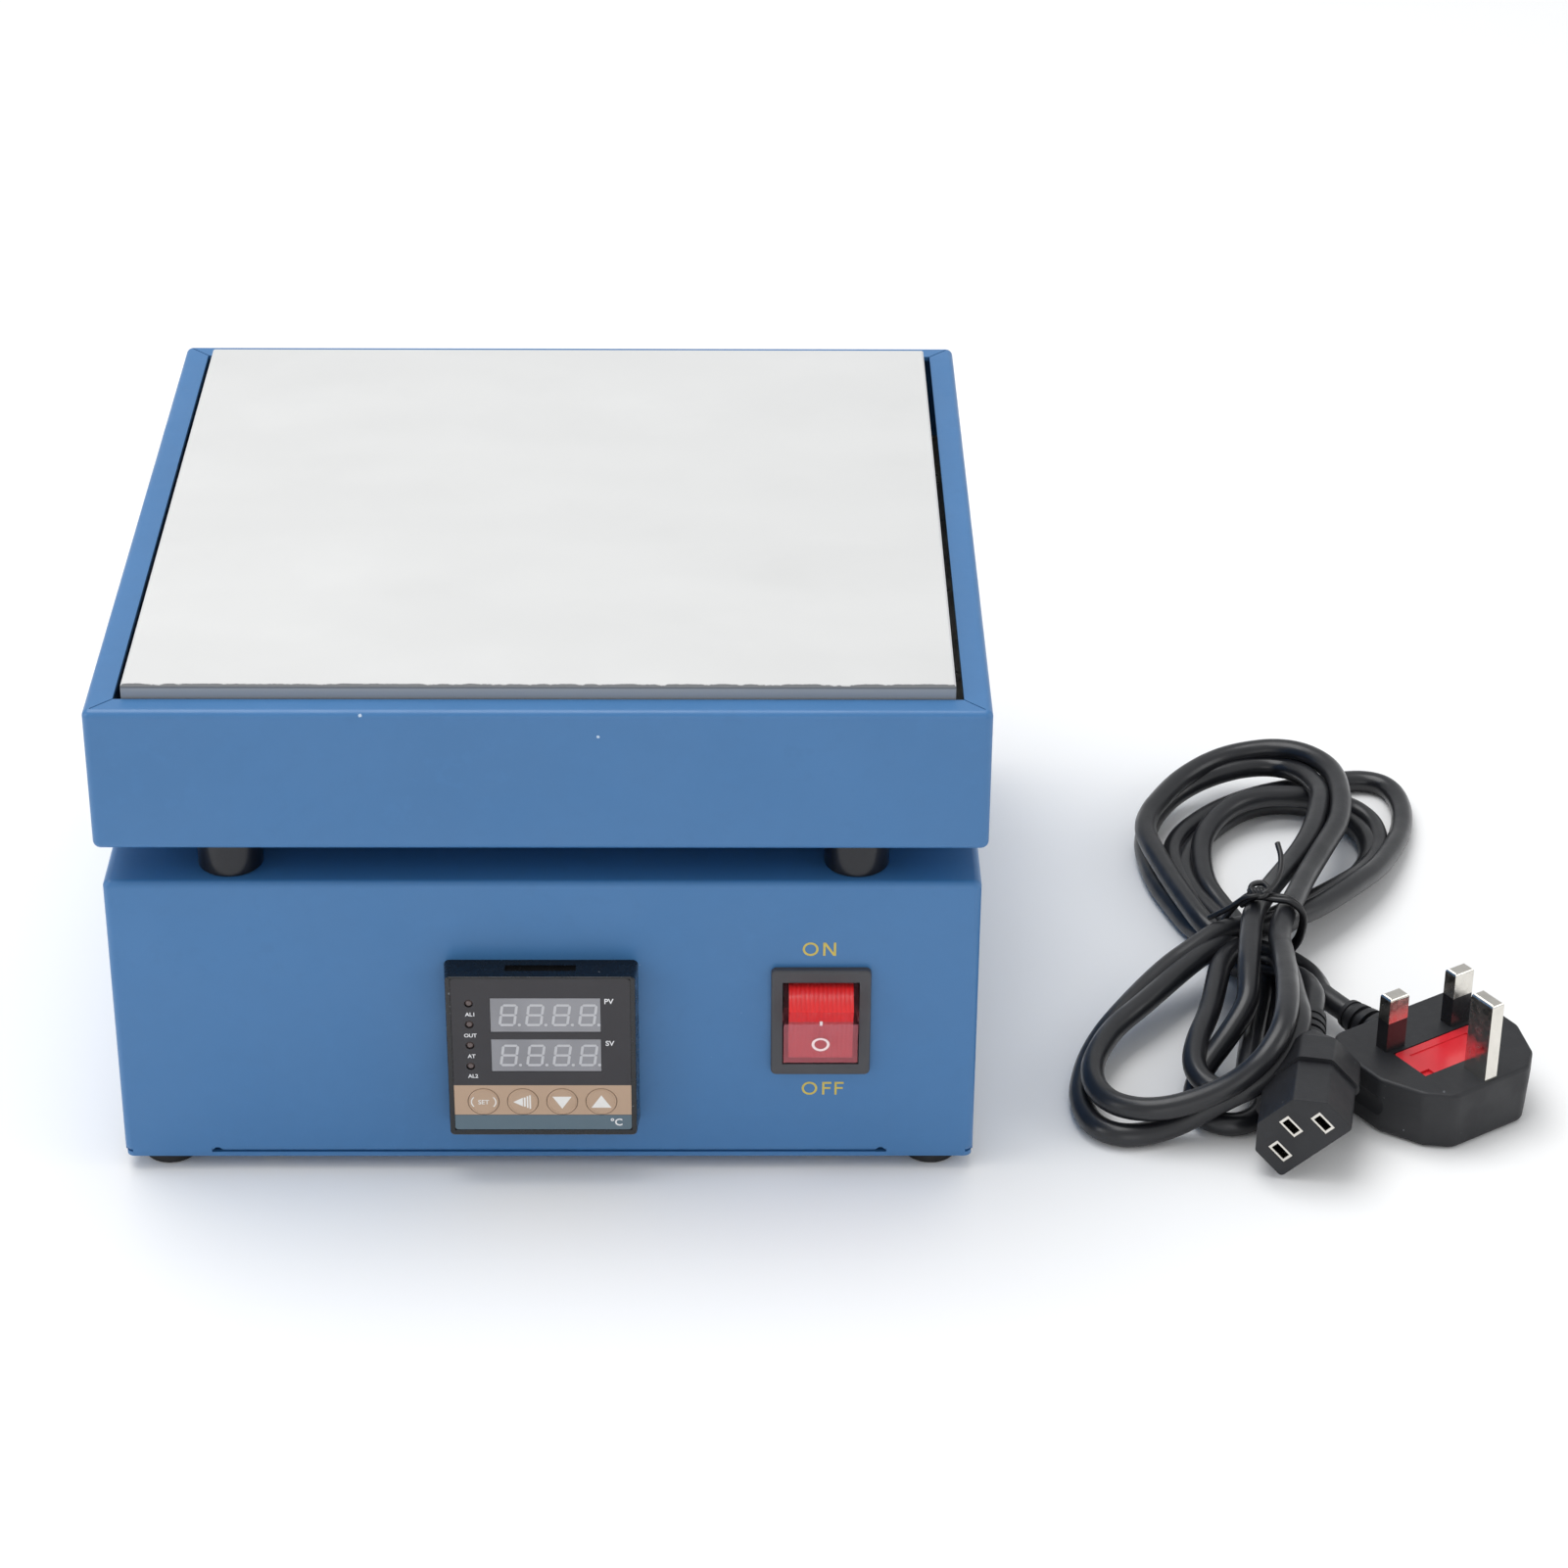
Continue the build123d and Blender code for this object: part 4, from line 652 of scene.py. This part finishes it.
class HOTPLATE_OT_finish_switch(Operator):
    """Finishes the rocker switch, marks its rocker and prints ON and OFF beside it."""
    bl_idname = "hotplate.finish_switch"
    bl_label = "Finish switch"

    def execute(self, context):
        look = context.scene.panel_look
        housing = moulded_finish("switch_housing", srgb(66, 66, 70), 0.5, 0.0006, 0.000015)
        dress(housing, "switch_body")
        core = Finish("rocker_insert", look.rocker, 0.35, coat=0.3)
        core.mottle(0.002, 0.06)
        ribs = core.math("SINE", core.math("MULTIPLY", core.axis("X"), 2 * math.pi / 0.0011))
        # Painted shade: the troughs between the ribs are painted darker red.
        core.paint(core.ramp(ribs, -1.0, -0.2, 0.22, 0.0), srgb(176, 16, 18))
        core.relief(ribs, 0.00004)
        dress(core, "rocker_core")
        # Painted reflection: the clear lens carries a pale pink, part-opaque veil over its front face and is
        # nearly clear above the ridge.
        clear = Finish("rocker_clear", srgb(214, 112, 122), 0.14, coat=0.4)
        low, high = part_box("switch_body")
        x, z = (low[0] + high[0]) / 2, (low[2] + high[2]) / 2
        ridge = z + 0.0017
        thin = clear.ramp(clear.axis("Z"), ridge, ridge + 0.0003, 0.42, 0.04)
        clear.links.new(thin, clear.shader.inputs["Alpha"])
        clear.mottle(0.003, 0.05)
        clear.relief(clear.noise(0.002, 1.0), 0.00001)
        dress(clear, "rocker_lens")
        self.mark_rocker()
        gold = Finish("gold_legend", look.legend, 0.4, metallic=0.15)
        gold.mottle(0.001, 0.08).relief(gold.noise(0.0003, 2.0), 0.00001)
        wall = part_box("base_shell")[0][1] - PRINT_GAP
        words = {"legend_on": self.word_on(x - 0.0005, z + 0.0206, wall),
                 "legend_off": self.word_off(x + 0.0008, z - 0.0206, wall)}
        for name, meshes in words.items():
            place_piece(joined(meshes, name), name, gold, smooth=False)
        return {"FINISHED"}

    def letter_o(self, x, z, wall):
        return ring_print((x, z), 0.00195, 0.00140, wall, wall + PRINT_THICK)

    def word_on(self, x, z, wall):
        """An O ring, and an N of two uprights and a slanted stroke."""
        half, pen, back = 0.0019, 0.00058, wall + PRINT_THICK
        left, right = x + 0.0009, x + 0.0041
        slant = [(left, z + half), (left + pen * 1.2, z + half), (right, z - half),
                 (right - pen * 1.2, z - half)]
        return [self.letter_o(x - 0.0022, z, wall),
                bar(left, left + pen, z - half, z + half, wall, back),
                bar(right - pen, right, z - half, z + half, wall, back),
                prism(slant, wall - 0.000004, back)]

    def word_off(self, x, z, wall):
        """An O ring, and two F, each an upright with two arms."""
        half, pen, back = 0.0019, 0.00055, wall + PRINT_THICK
        meshes = [self.letter_o(x - 0.0034, z, wall)]
        for left in (x - 0.0002, x + 0.0029):
            meshes += [bar(left, left + pen, z - half, z + half, wall, back),
                       bar(left + pen, left + 0.0023, z + half - pen, z + half, wall, back),
                       bar(left + pen, left + 0.0021, z - 0.0002, z - 0.0002 + pen, wall, back)]
        return meshes

    def mark_rocker(self):
        """A bar and a ring on the rocker's hollow face.

        A mark's height is taken along the arc of that face as an angle: it rises with the sine of the angle
        and comes out with one less its cosine, and both are then turned by the rocker's tilt.
        """
        pivot = [joint["pos_m"] for joint in frame["joints"] if joint["name"] == "switch_rocker"][0]
        hollow, middle, tilt = 0.0247, 0.0050, math.radians(20)

        def on_face(x, along):
            up = hollow * np.sin(along / hollow)
            out = middle + hollow - hollow * np.cos(along / hollow) + PRINT_THICK
            return np.stack([pivot[0] + x,
                             pivot[1] - (np.sin(tilt) * up + np.cos(tilt) * out),
                             pivot[2] + np.cos(tilt) * up - np.sin(tilt) * out], -1)
        cosine, sine = circle(48)
        ring = np.array([0.00155, 0.0019, 0.00225])
        marks = [grid_mesh("mark", on_face(cosine[:, None] * ring, -0.0042 + sine[:, None] * ring), True)]
        across, along = np.meshgrid(np.linspace(-0.00035, 0.00035, 4), np.linspace(0.0034, 0.0058, 10))
        marks.append(grid_mesh("mark", on_face(across, along)))
        white = Finish("rocker_marks", srgb(246, 226, 226), 0.4)
        white.mottle(0.002, 0.03)
        place_piece(joined(marks, "rocker_marks"), "rocker_marks", white, "rocker")


# Mains lead, its places in millimetres

TURNS = [
    [(181.5, -14, 3.2), (177, 5.5, 3.2), (175.5, 22.5, 3.2), (173.5, 34, 3.2), (172.5, 43, 3.2),
     (173, 50.5, 3.2), (176, 58, 3.2), (182, 66, 3.2), (188.5, 73, 3.2), (198, 79.5, 3.2), (208, 84, 3.2),
     (219, 87, 3.2), (229, 90, 3.2), (235.5, 89.5, 3.2), (240, 86, 3.2), (242, 79, 3.2), (242, 69.5, 3.4),
     (239.5, 57, 4), (234.5, 43.5, 6), (228.5, 30.5, 8), (221, 19.5, 10), (214, 10.5, 11), (206.5, 2, 12),
     (199.5, -4, 13), (191, -9, 14), (184, -12, 15), (178, -15, 15), (173.5, -19, 14), (162.5, -27.5, 11)],
    [(148, -47.5, 8), (142.5, -55.5, 5), (139, -64.5, 3.4), (137, -75, 3.2), (137.5, -84.5, 3.2),
     (140.5, -91.5, 3.2), (146.5, -95, 3.2), (154, -94, 3.4), (161.5, -92, 5), (167.5, -90.5, 8),
     (174, -90, 12), (180.5, -90.5, 16), (185.5, -88, 19), (190, -82, 21), (193, -74, 22),
     (194.5, -66.5, 22), (194.5, -55, 20), (195, -39.5, 17), (195, -26, 14)],
    [(192.5, -19.5, 11.3), (186, -12, 9), (179.5, -2.5, 5.1), (175, 5.5, 3.2), (172.5, 11.5, 3.2),
     (170, 19.5, 3.2), (167.5, 27.5, 3.2), (166, 35.5, 3.2), (165, 44.5, 3.2), (165, 54, 3.2),
     (167, 63, 3.4), (171, 71, 4.5), (176.5, 77.5, 6), (184.5, 82.5, 8), (194, 86, 9.4), (202.5, 88, 9.4),
     (208.5, 86.5, 9.6), (213, 81, 11), (215.5, 73, 12.5), (216.5, 63.5, 14), (214.5, 52.5, 15),
     (211, 39.5, 15.6), (206.5, 28.5, 15.6), (201, 17.5, 16), (195.5, 6, 17.5), (191, -6, 20),
     (187.5, -16.5, 21.8), (186, -25.5, 21.8), (184, -39, 21.6), (183, -49.5, 20)],
    [(182, -56, 18), (176, -64, 13), (169.5, -70, 7.5), (166, -78, 4), (167.5, -86, 3.2), (174, -90.5, 3.2),
     (181, -88, 3.2), (184.5, -80, 3.2), (185.5, -70, 3.2), (187, -58, 3.2), (189, -46, 3.2),
     (191, -32, 3.2), (192, -16.5, 3.2), (191, -5, 3.2)],
    [(189, 1.5, 3.2), (186, 11.5, 3.2), (183.5, 18.5, 3.6), (181, 24.5, 4.5), (180, 31, 5), (180, 39, 5.4),
     (180.5, 46, 6), (182, 52, 7), (186, 59.5, 8), (192, 66, 9), (200.5, 70, 9.4), (209.5, 70.5, 9.2),
     (216.5, 71, 8), (223, 71.5, 6), (228.5, 70, 4.5), (232.5, 64.5, 3.4), (233, 55, 3.2), (231, 44.5, 3.6),
     (225.5, 34, 5), (218.5, 24, 7), (211.5, 15.5, 8.5), (204, 8, 9.6), (195.5, 0, 10.5), (188.5, -6, 11),
     (183, -12, 12), (178.5, -18.5, 13), (173, -23.5, 13), (167, -30, 12)],
    [(155.5, -45, 11), (147.5, -53.5, 9.6), (142.5, -64, 9.4), (140, -72.5, 9.4), (140, -81.5, 9.4),
     (143.5, -89, 9.6), (150, -93, 10), (157.5, -94, 11), (166, -93, 13), (175, -91.5, 17),
     (181.5, -89.5, 22), (186.5, -84, 26), (189.5, -75, 28), (191.5, -61.5, 27), (192.5, -47, 25.1),
     (193, -37.5, 23.6)],
    [(193, -33.5, 22.6), (193.5, -26, 22), (196, -16.5, 21.4), (200.5, -4.5, 20), (204.5, 7.5, 18.5),
     (209, 19, 17.5), (214, 31.5, 16.5), (218.5, 42, 16), (221, 53, 15.6), (222, 63.5, 15.4),
     (221.5, 74, 15.2), (218, 82, 15), (212.5, 87.5, 14.6), (206, 90, 14), (200, 90, 13.4),
     (193.5, 89, 12.6), (188, 86.5, 12), (182.5, 82.5, 11.4), (176.5, 76.5, 10.6), (171, 68, 10),
     (166.5, 59.5, 9.6), (164.5, 51, 9.4), (165.5, 42, 9.4), (167.5, 32.5, 9.4), (170, 21.5, 9.4),
     (173, 10.5, 9.4), (176, 0.5, 9.2), (180, -5.5, 8), (185.5, -9.5, 5), (190, -16, 3.2)],
    [(190, -24, 4), (188.5, -34, 7), (186, -46, 9.4), (183.5, -58, 9.4), (181.5, -68, 9.4), (180, -77, 9.4),
     (175.5, -84, 9.6), (169.5, -83, 10), (166, -75, 11), (168, -64, 12), (172.5, -52, 12.6),
     (175.5, -40, 13.4), (178, -28, 13.4), (184, -16, 11)],
    [(191.5, -8.5, 8), (200.5, 6, 5.5), (209, 17.5, 4), (217, 26.5, 3.4), (224.5, 35, 3.2), (229, 44, 3.2),
     (230, 54, 3.2), (227.5, 63, 3.2), (221.5, 71, 3.2), (214, 75.5, 3.2), (205, 76.5, 3.2),
     (195.5, 73, 3.2), (186.5, 63, 3.2), (180.5, 54, 3.2), (176.5, 45, 3.2), (175, 36, 3.2),
     (176.5, 26.5, 3.2), (179.5, 17, 3.2), (184, 7.5, 3.2), (190.5, -1.5, 3.2), (198.5, -9, 3.2),
     (204, -17, 3.4)],
]
CONNECTOR_TAIL = [(198.2, -60.9, 14.8), (199.7, -53.3, 14.8), (201.4, -44.4, 14.8), (199.0, -24.0, 8.0)]
PLUG_TAIL = [(205.3, -26.0, 5.0), (204.8, -34.1, 7.6), (208.6, -39.9, 7.6), (213.2, -47.0, 7.6)]

TIE_HOOP = [(176.8, -7.4, 4), (178.3, -7.9, 10), (181, -8.9, 16), (184.5, -10.1, 22), (188.2, -11.4, 25.4),
            (193, -13, 25.6), (197.6, -14.7, 25.6), (201, -15.9, 22), (200.6, -15.7, 15), (197.8, -14.7, 9),
            (196.3, -14.2, 4.5), (193, -13, 1.2), (186, -10.6, 1.1), (179.5, -8.3, 1.2), (176.8, -7.4, 4)]
TIE_WRAP = [(x + 0.2, y - 2.0, z + 0.1) for x, y, z in TIE_HOOP[3:10]]
TIE_ENDS = [[(188, -13, 26), (190.5, -14.5, 27.5), (193.2, -11.9, 28.4), (195.4, -7, 29.6),
             (196.2, -2, 31.4), (195.6, 2.1, 33.4)],
            [(191, -14, 26.4), (188, -15.6, 27.2), (185, -15.0, 26), (182, -13.6, 22.6),
             (179.4, -12.0, 19.8), (176.4, -10.4, 17)],
            [(186.6, -13.4, 26.2), (187.6, -11.2, 28), (190.4, -11.2, 28.6), (191.8, -13.4, 27.6),
             (189.8, -15.6, 26.8), (187.0, -14.8, 26.8)]]
TIE_TWIST = (186.6, -13.6, 27.0)
TIE_TWIST_LONG = 5.4


def lead_route():
    """The lead from connector to plug in metres: the listed tails, and each turn of the hank in a loop."""
    points = list(CONNECTOR_TAIL)
    for turn in TURNS:
        for place in turn:
            points.append(place)
    return np.array(points + PLUG_TAIL) * MM


class HOTPLATE_OT_wind_lead(Operator):
    """Lays the mains lead in its tied hank beside the hot plate."""
    bl_idname = "hotplate.wind_lead"
    bl_label = "Wind lead"

    def execute(self, context):
        look = context.scene.lead_look
        sheath = Finish("cord_sheath", look.sheath, 0.36, coat=0.15)
        sheath.mottle(0.02, 0.12).sheen_patches(0.012, 0.3, 0.44, 2.0)
        sheath.relief(sheath.noise(0.0009, 2.0), 0.00002)
        sheath.relief(sheath.noise(0.012, 1.0, seed=3.0), 0.0003)
        points = lead_route()
        curve = bpy.data.curves.new("mains_cord", "CURVE")
        curve.dimensions = "3D"
        curve.bevel_depth = look.thickness / 2
        curve.bevel_resolution = 6
        curve.use_fill_caps = True
        curve.resolution_u = 5
        spline = curve.splines.new("NURBS")
        spline.points.add(len(points) - 1)
        spline.points.foreach_set("co", np.column_stack([points, np.ones(len(points))]).reshape(-1))
        spline.order_u = 3
        spline.use_endpoint_u = True
        cord = bpy.data.objects.new("mains_cord", curve)
        bpy.context.scene.collection.objects.link(cord)
        curve.materials.append(sheath.material)
        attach(cord, STAND)
        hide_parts("lead_bundle", "lead_tail_connector", "lead_tail_plug")
        self.length(cord)
        self.tie(look)
        return {"FINISHED"}

    def length(self, cord):
        """The spline's own length, from its line without thickness."""
        line = cord.data.copy()
        line.bevel_depth = 0
        probe = bpy.data.objects.new("probe", line)
        bpy.context.scene.collection.objects.link(probe)
        bpy.context.view_layer.update()
        mesh = bpy.data.meshes.new_from_object(probe)
        flat = np.empty(len(mesh.vertices) * 3)
        mesh.vertices.foreach_get("co", flat)
        bpy.data.objects.remove(probe)
        bpy.data.meshes.remove(mesh)
        return float(np.linalg.norm(np.diff(flat.reshape(-1, 3), axis=0), axis=1).sum())

    def tie(self, look):
        """A wire tie: a hoop close round the strands, a second wrap over them, a twist and loose ends.

        Each wire of the twist runs ahead evenly while it circles, its angle growing with the way gone.
        """
        black = moulded_finish("tie_sleeve", srgb(22, 22, 25), 0.4)
        wraps = [smooth_line(TIE_HOOP, 110), smooth_line(TIE_WRAP, 60)]
        meshes = [tube_mesh(line * MM, 0.9 * MM, 10) for line in wraps]
        meshes += [tube_mesh(smooth_line(keys, 50) * MM, 0.8 * MM, 10) for keys in TIE_ENDS]
        way = np.linspace(0, 1, 40)
        for start in (0, np.pi):
            angle = start + way * 2 * np.pi * look.tie_turns
            path = np.column_stack([way * TIE_TWIST_LONG, 0.9 * np.cos(angle), 0.9 * np.sin(angle)])
            path += TIE_TWIST
            meshes.append(tube_mesh(path * MM, 0.7 * MM, 8))
        tie = place_piece(joined(meshes, "wire_tie"), "wire_tie", black)
        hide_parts("lead_tie")


class HOTPLATE_OT_finish_ends(Operator):
    """Finishes the connector, the plug, its pins and its fuse carrier."""
    bl_idname = "hotplate.finish_ends"
    bl_label = "Finish lead ends"

    def execute(self, context):
        look = context.scene.lead_look
        moulding = Finish("overmoulding", look.sheath, 0.5)
        moulding.mottle(0.015, 0.1).sheen_patches(0.01, 0.42, 0.58, 2.0)
        moulding.relief(moulding.noise(0.0006, 2.0), 0.00003)
        moulding.paint(moulding.ramp(moulding.noise(0.0018, 1.0, seed=5.0), 0.79, 0.82), srgb(92, 94, 98))
        dress(moulding, "connector_body", "plug_body")
        sleeve = moulded_finish("pin_sleeve", srgb(24, 24, 27), 0.3, coat=0.3)
        dress(sleeve, "pin_sleeves")
        nickel = Finish("bright_nickel", srgb(222, 218, 210), 0.18, metallic=1.0)
        nickel.mottle(0.003, 0.06).sheen_patches(0.002, 0.12, 0.28, 2.0)
        nickel.relief(nickel.noise(0.0005, 2.0, (1, 1, 8)), 0.00001)
        dress(nickel, "plug_pins", "connector_contacts")
        red = moulded_finish("carrier_moulding", srgb(214, 34, 46), 0.35, 0.0006, 0.00001, 0.3)
        dress(red, "fuse_carrier")
        glaze = moulded_finish("fuse_glaze", srgb(226, 220, 200), 0.25, coat=0.4)
        dress(glaze, "fuse")
        return {"FINISHED"}


# Stage. Each lamp: name, place in metres, size, power in watts.

STUDIO_LAMPS = [("over", (-0.3, 0.25, 1.6), 1.3, 17.0), ("left", (-1.8, -0.7, 0.8), 1.0, 7.0),
                ("right", (1.9, -0.4, 0.9), 1.0, 5.0), ("front", (0.2, -2.2, 0.5), 1.2, 4.0)]
LAMP_AIM = np.array([0.05, 0.0, 0.05])


class HOTPLATE_OT_set_stage(Operator):
    """Lays the pale floor and sets soft lights and the camera."""
    bl_idname = "hotplate.set_stage"
    bl_label = "Set stage"

    def execute(self, context):
        self.lay_floor()
        self.hang_lights(context)
        self.stand_camera(context)
        return {"FINISHED"}

    def lay_floor(self):
        """A square floor that rises at the back, by the square of the distance past its bend."""
        span = 9.0
        x, y = np.meshgrid(np.linspace(-span, span, 25), np.linspace(-span, span, 73))
        z = np.maximum(y - 3.0, 0) ** 2 * 0.25
        floor = Finish("paper_floor", (0.955, 0.955, 0.955, 1), 0.9)
        floor.mottle(0.4, 0.004)
        mesh = grid_mesh("floor", np.stack([x, y, z], -1))
        piece = bpy.data.objects.new("floor", mesh)
        bpy.context.scene.collection.objects.link(piece)
        mesh.materials.append(floor.material)
        mesh.shade_smooth()

    def hang_lights(self, context):
        """An even sky, and large soft lamps that look at the object."""
        world = bpy.data.worlds.new("studio")
        world.use_nodes = True
        world.node_tree.nodes["Background"].inputs["Color"].default_value = (0.97, 0.985, 1.0, 1)
        world.node_tree.nodes["Background"].inputs["Strength"].default_value = 0.62
        context.scene.world = world
        for name, place, size, power in STUDIO_LAMPS:
            light = bpy.data.lights.new(name, "AREA")
            light.size = size
            light.energy = power
            lamp = bpy.data.objects.new(name, light)
            context.scene.collection.objects.link(lamp)
            back = place - LAMP_AIM
            back /= np.linalg.norm(back)
            right = np.cross((0, 0, 1), back)
            right /= np.linalg.norm(right)
            up = np.cross(back, right)
            turn = Matrix(np.column_stack([right, up, back]).tolist()).to_4x4()
            lamp.matrix_world = Matrix.Translation(place) @ turn
        context.scene.view_settings.view_transform = "Standard"

    def stand_camera(self, context):
        """The camera's right, up and back from its azimuth and elevation, then turned by its roll."""
        view = context.scene.photo_view
        az, el, roll = view.azimuth, view.elevation, view.roll
        back = np.array([math.sin(az) * math.cos(el), -math.cos(az) * math.cos(el), math.sin(el)])
        right = np.array([math.cos(az), math.sin(az), 0.0])
        up = np.cross(back, right)
        turned_right = math.cos(roll) * right + math.sin(roll) * up
        turned_up = -math.sin(roll) * right + math.cos(roll) * up
        lens = bpy.data.cameras.new("photo_camera")
        lens.lens = view.lens
        lens.sensor_width = 36.0
        lens.clip_start = 0.01
        camera = bpy.data.objects.new("photo_camera", lens)
        context.scene.collection.objects.link(camera)
        turn = Matrix(np.column_stack([turned_right, turned_up, back]).tolist()).to_4x4()
        camera.matrix_world = Matrix.Translation(view.place) @ turn
        context.scene.camera = camera


class HOTPLATE_PT_pieces(Panel):
    """Lists the pieces' operators and their sizes and colours."""
    bl_label = "Hot plate"
    bl_idname = "HOTPLATE_PT_pieces"
    bl_space_type = "VIEW_3D"
    bl_region_type = "UI"
    bl_category = "Hot plate"

    def draw(self, context):
        for group in (context.scene.cabinet_look, context.scene.panel_look, context.scene.lead_look,
                      context.scene.photo_view):
            box = self.layout.box()
            for name in group.bl_rna.properties.keys():
                if name not in ("rna_type", "name"):
                    box.prop(group, name)
        for step in STEPS:
            self.layout.operator(step.bl_idname)


STEPS = (HOTPLATE_OT_set_stage, HOTPLATE_OT_wind_lead, HOTPLATE_OT_paint_cabinet, HOTPLATE_OT_mill_plate,
         HOTPLATE_OT_fit_hardware, HOTPLATE_OT_finish_controller, HOTPLATE_OT_finish_switch,
         HOTPLATE_OT_finish_ends)
GROUPS = {"cabinet_look": CabinetLook, "panel_look": PanelLook, "lead_look": LeadLook,
          "photo_view": PhotoView}


def register():
    for group in GROUPS.values():
        bpy.utils.register_class(group)
    for step in STEPS + (HOTPLATE_PT_pieces,):
        bpy.utils.register_class(step)
    for name, group in GROUPS.items():
        setattr(bpy.types.Scene, name, PointerProperty(type=group))


def unregister():
    for name in GROUPS:
        delattr(bpy.types.Scene, name)
    for step in (HOTPLATE_PT_pieces,) + STEPS[::-1]:
        bpy.utils.unregister_class(step)
    for group in reversed(list(GROUPS.values())):
        bpy.utils.unregister_class(group)


def main():
    register()
    for step in STEPS:
        family, name = step.bl_idname.split(".")
        getattr(getattr(bpy.ops, family), name)()


if __name__ == "__main__":
    main()
